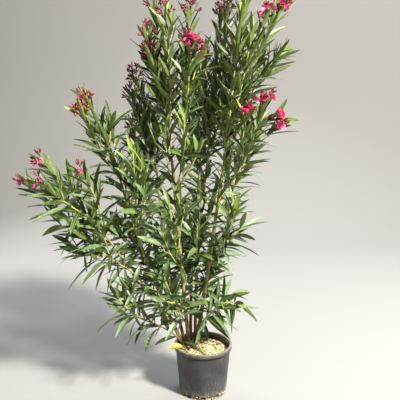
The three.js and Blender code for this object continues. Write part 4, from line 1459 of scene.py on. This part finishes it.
def bud_heads(branch, draws):
    """The buds that crowd on the end of one branch of a cluster."""
    root, look = branch
    right = square_to(look)
    upper = look.cross(right)
    heads = []
    for k in range(int(draws.between(*BUD.each))):
        angle = k * CLUSTER.turn + draws.jitter(0.4)
        outward = right * math.cos(angle) + upper * math.sin(angle)
        away = BUD.apart * draws.between(0.4, 1)
        place = root + outward * away + look * draws.between(0, BUD.ahead)
        heads.append((place, (look + outward * 0.55).normalized()))
    return heads


def gather_buds(path, count, heads, stalks, draws):
    """Branches at the tip of a path that end in buds, with the buds' stalks. Gives the branches."""
    branches = cluster_heads(path, count, BUD.reach, BUD.rise, draws)
    for branch in branches:
        buds = bud_heads(branch, draws)
        heads["buds"].extend(buds)
        fork = branch[0] - branch[1] * BUD.fork
        stalks.extend(stalk_path(fork, root) for root, _ in buds)
    return branches


def gather_flowers(mass, path, heads, draws):
    """Flowers at the tip of a path, each in the blossom of its tone. Gives the flowers."""
    flowers = cluster_heads(path, flower_count(mass, path.tip, draws), FLOWER.reach, FLOWER.rise, draws)
    for head in flowers:
        heads[head_tone(mass, head, draws)].append(head)
    return flowers


def gather_heads():
    """Every flower and bud, by its kind, and the stalks that carry them."""
    draws = Draws(707)
    heads = {"rose": [], "pale": [], "faded": [], "buds": []}
    stalks = []
    for name, mass in MASSES.items():
        for number, shoot in enumerate(SHOOTS[name]):
            kind = kind_of_tip(mass, number)
            if kind == "none":
                continue
            count = int(draws.between(*(BUD.branches if kind == "buds" else BUD.few_branches)))
            branches = gather_buds(shoot.path, count, heads, stalks, draws)
            if kind != "buds":
                branches = branches + gather_flowers(mass, shoot.path, heads, draws)
            stalks.extend(stalk_path(shoot.path.tip, root) for root, _ in branches)
        for path in flowering_twigs(name):
            branches = gather_buds(path, FLOWERING_TWIG.branches, heads, stalks, draws)
            stalks.extend(stalk_path(path.tip, root) for root, _ in branches)
    return heads, stalks


BLOSSOM_FINISHES = {
    "rose": ["petal_rose", "petal_deep", "petal_back", "throat", "calyx"],
    "pale": ["petal_pink", "petal_rose", "petal_back", "throat", "calyx"],
    "faded": ["withered", "withered_dark", "withered", "withered", "calyx"],
    "buds": ["bud_crimson", "calyx"],
}


def make_blossom():
    heads, stalks = gather_heads()
    flowers = [flower_shape(seed, False) for seed in (71, 72, 73)]
    shapes = {"rose": flowers, "pale": flowers, "faded": [flower_shape(74, True)], "buds": [bud_shape()]}
    draws = Draws(708)
    for kind, finishes in BLOSSOM_FINISHES.items():
        heap = Heap()
        for number, shape in enumerate(shapes[kind]):
            size = FLOWER.withered_scale if kind == "faded" else 1
            add_heads(heap, shape, heads[kind][number::len(shapes[kind])], size, draws)
        heap.piece("blossom_" + kind, finishes, "foliage", [])
    make_stalks(stalks)


def add_heads(heap, shape, heads, size, draws):
    frames = head_frames(heads, draws)
    scales = [size * draws.between(0.85, 1.12) for _ in heads]
    heap.add_many(shape, shape.placed([root for root, _ in heads], *zip(*frames), scales))


def make_stalks(stalks):
    heap = Heap()
    shares = np.arange(STALK.rings + 1) / STALK.rings
    radii = lerp(*STALK.radii, shares)
    faces = tube_faces(STALK.rings + 1, STALK.sides)
    for path in stalks:
        heap.add(swept(path, shares, radii, STALK.sides), faces)
    heap.piece("flower_stalks", ["calyx"], "foliage", [])


# What lies on the mix

# Fallen leaves: the middle of each, how far it lies over the mix, its size and which way it turns and tips.
# The yellow one only touches the pot's lip: most of it hangs outside, where the photograph shows it.
Fallen = namedtuple("Fallen", "x y over length width turn tilt finish")
FALLEN = (
    Fallen(-0.144, -0.096, 0.0545, 0.078, 0.048, 0.10, 0.95, "leaf_yellow"),
    Fallen(0.060, -0.080, 0.006, 0.045, 0.011, 2.1, 0, "leaf_dry"),
    Fallen(-0.040, -0.104, 0.006, 0.055, 0.013, 5.0, 0, "leaf_dry"),
    Fallen(0.085, 0.050, 0.006, 0.050, 0.012, 3.6, 0, "leaf_dry"),
    Fallen(-0.010, 0.096, 0.010, 0.090, 0.022, 2.8, 0, "leaf_dry"),
    Fallen(0.020, 0.110, 0.008, 0.080, 0.020, 0.4, 0, "leaf_dry"),
)


def make_fallen_leaves():
    heap = Heap()
    finishes = ["leaf_yellow", "leaf_dry"]
    for x, y, over, length, width, turn, tilt, finish in FALLEN:
        along = Vector((math.cos(turn), math.sin(turn), 0.05)).normalized()
        right = Matrix.Rotation(-tilt, 3, along) @ along.cross(UP).normalized()
        root = Vector((x, y, mix_height(x, y) + over)) - along * (length / 2)
        blade = Blade(
            root=root, along=along, right=right, upper=right.cross(along), length=length, width=width,
            arch=0.08, droop=0.0, twist=0.5, fold=0.3, keel=0.0008, tint=finishes.index(finish),
        )
        add_blades(heap, LEAF_FORM, stacked([blade]), lambda part, tint: tint)
    heap.piece("fallen_leaves", finishes, "foliage", [])


STUB = SimpleNamespace(
    foot=(-0.009, -0.066, -0.012), bend=(0.001, -0.004, 0.02), tip=(0.004, -0.014, 0.036), radius=0.0085,
    taper=0.10, knobble=0.05, edge=0.86, rings=12, sides=14,
)


def make_cut_stub():
    """The stub of a cane that was cut off close to the mix."""
    start = Vector((CROWN.x, CROWN.y, MIX.crown_level)) + Vector(STUB.foot)
    path = Path(start, start + Vector(STUB.bend), start + Vector(STUB.tip))
    shares = np.arange(STUB.rings + 1) / STUB.rings
    radii = STUB.radius * (1 - STUB.taper * shares) * (1 + STUB.knobble * np.sin(shares * 21))
    radii[-1] *= STUB.edge
    heap = Heap()
    faces = tube_faces(STUB.rings + 1, STUB.sides)
    heap.add(swept(path, shares, radii, STUB.sides), faces, [0] * (len(faces) - 1) + [1])
    heap.piece("cut_stub", ["stub_bark", "cut_wood"], "cane", [], sharp=60)


# Floor, light and camera

STAGE = SimpleNamespace(width=16.0, front=-7.0, back=3.2, bend=2.6, height=6.0, steps=16, sunk=0.0005)
CAMERA = SimpleNamespace(place=(-0.0166, -2.61, 1.455), pitch=8.5, lens=45.0, sensor=36.0)

# Every lamp is a disk that looks at the middle of the plant
Lamp = namedtuple("Lamp", "place size power colour")
LAMPS = {
    "key": Lamp((4.9, -4.7, 7.0), 1.3, 2520, (1.0, 0.96, 0.88)),
    "fill": Lamp((-3.4, -2.4, 2.2), 3.0, 5, (0.90, 0.95, 1.0)),
    "rim": Lamp((1.9, 2.9, 4.2), 2.6, 150, (0.86, 0.94, 1.0)),
    "back": Lamp((-2.6, 3.2, 2.6), 3.0, 95, (0.96, 0.97, 1.0)),
    "side": Lamp((2.8, -0.6, 0.9), 0.5, 14, (1.0, 0.98, 0.95)),
}
LAMPS_LOOK_AT = Vector((-0.1, 0, 1.05))
WORLD = SimpleNamespace(colour=(0.86, 0.90, 0.96, 1), strength=0.05)


def make_stage():
    """A pale floor that runs up into a backdrop in one smooth bend."""
    tree, shader = new_finish("stage_pale")
    shader.inputs["Base Color"].default_value = (0.34, 0.336, 0.328, 1)
    shader.inputs["Roughness"].default_value = 0.9
    line = [(STAGE.front, 0.0), (STAGE.back, 0.0)]
    for i in range(1, STAGE.steps + 1):
        angle = math.pi / 2 * i / STAGE.steps
        line.append((STAGE.back + STAGE.bend * math.sin(angle), STAGE.bend * (1 - math.cos(angle))))
    line.append((STAGE.back + STAGE.bend, STAGE.height))
    corners = [(x, y, z - STAGE.sunk) for y, z in line for x in (-STAGE.width / 2, STAGE.width / 2)]
    faces = [[2 * i, 2 * i + 1, 2 * i + 3, 2 * i + 2] for i in range(len(line) - 1)]
    mesh = bpy.data.meshes.new("stage_floor")
    mesh.from_pydata(corners, [], faces)
    mesh.materials.append(MATERIALS["stage_pale"])
    mesh.shade_smooth()
    add_object("stage_floor", mesh)


def make_light(name, place, size, power, colour):
    light = bpy.data.lights.new(name, "AREA")
    light.shape = "DISK"
    light.size = size
    light.energy = power
    light.color = colour
    lamp = add_object(name, light)
    lamp.location = place
    lamp.rotation_euler = (LAMPS_LOOK_AT - Vector(place)).to_track_quat("-Z", "Y").to_euler()


def make_lights():
    for name, lamp in LAMPS.items():
        make_light(name, *lamp)
    world = bpy.data.worlds.new("studio")
    world.use_nodes = True
    background = world.node_tree.nodes["Background"]
    background.inputs["Color"].default_value = WORLD.colour
    background.inputs["Strength"].default_value = WORLD.strength
    bpy.context.scene.world = world
    bpy.context.scene.view_settings.view_transform = "Standard"


def make_camera():
    data = bpy.data.cameras.new("camera")
    data.sensor_width = CAMERA.sensor
    data.lens = CAMERA.lens
    data.dof.use_dof = False
    camera = add_object("camera", data)
    camera.location = CAMERA.place
    camera.rotation_euler = (math.radians(90 - CAMERA.pitch), 0, 0)
    bpy.context.scene.camera = camera


make_camera()
make_lights()
make_stage()
make_pot()
make_mix()
make_grains()
make_crumbs()
make_limbs()
make_cut_stub()
make_foliage()
make_blossom()
make_fallen_leaves()
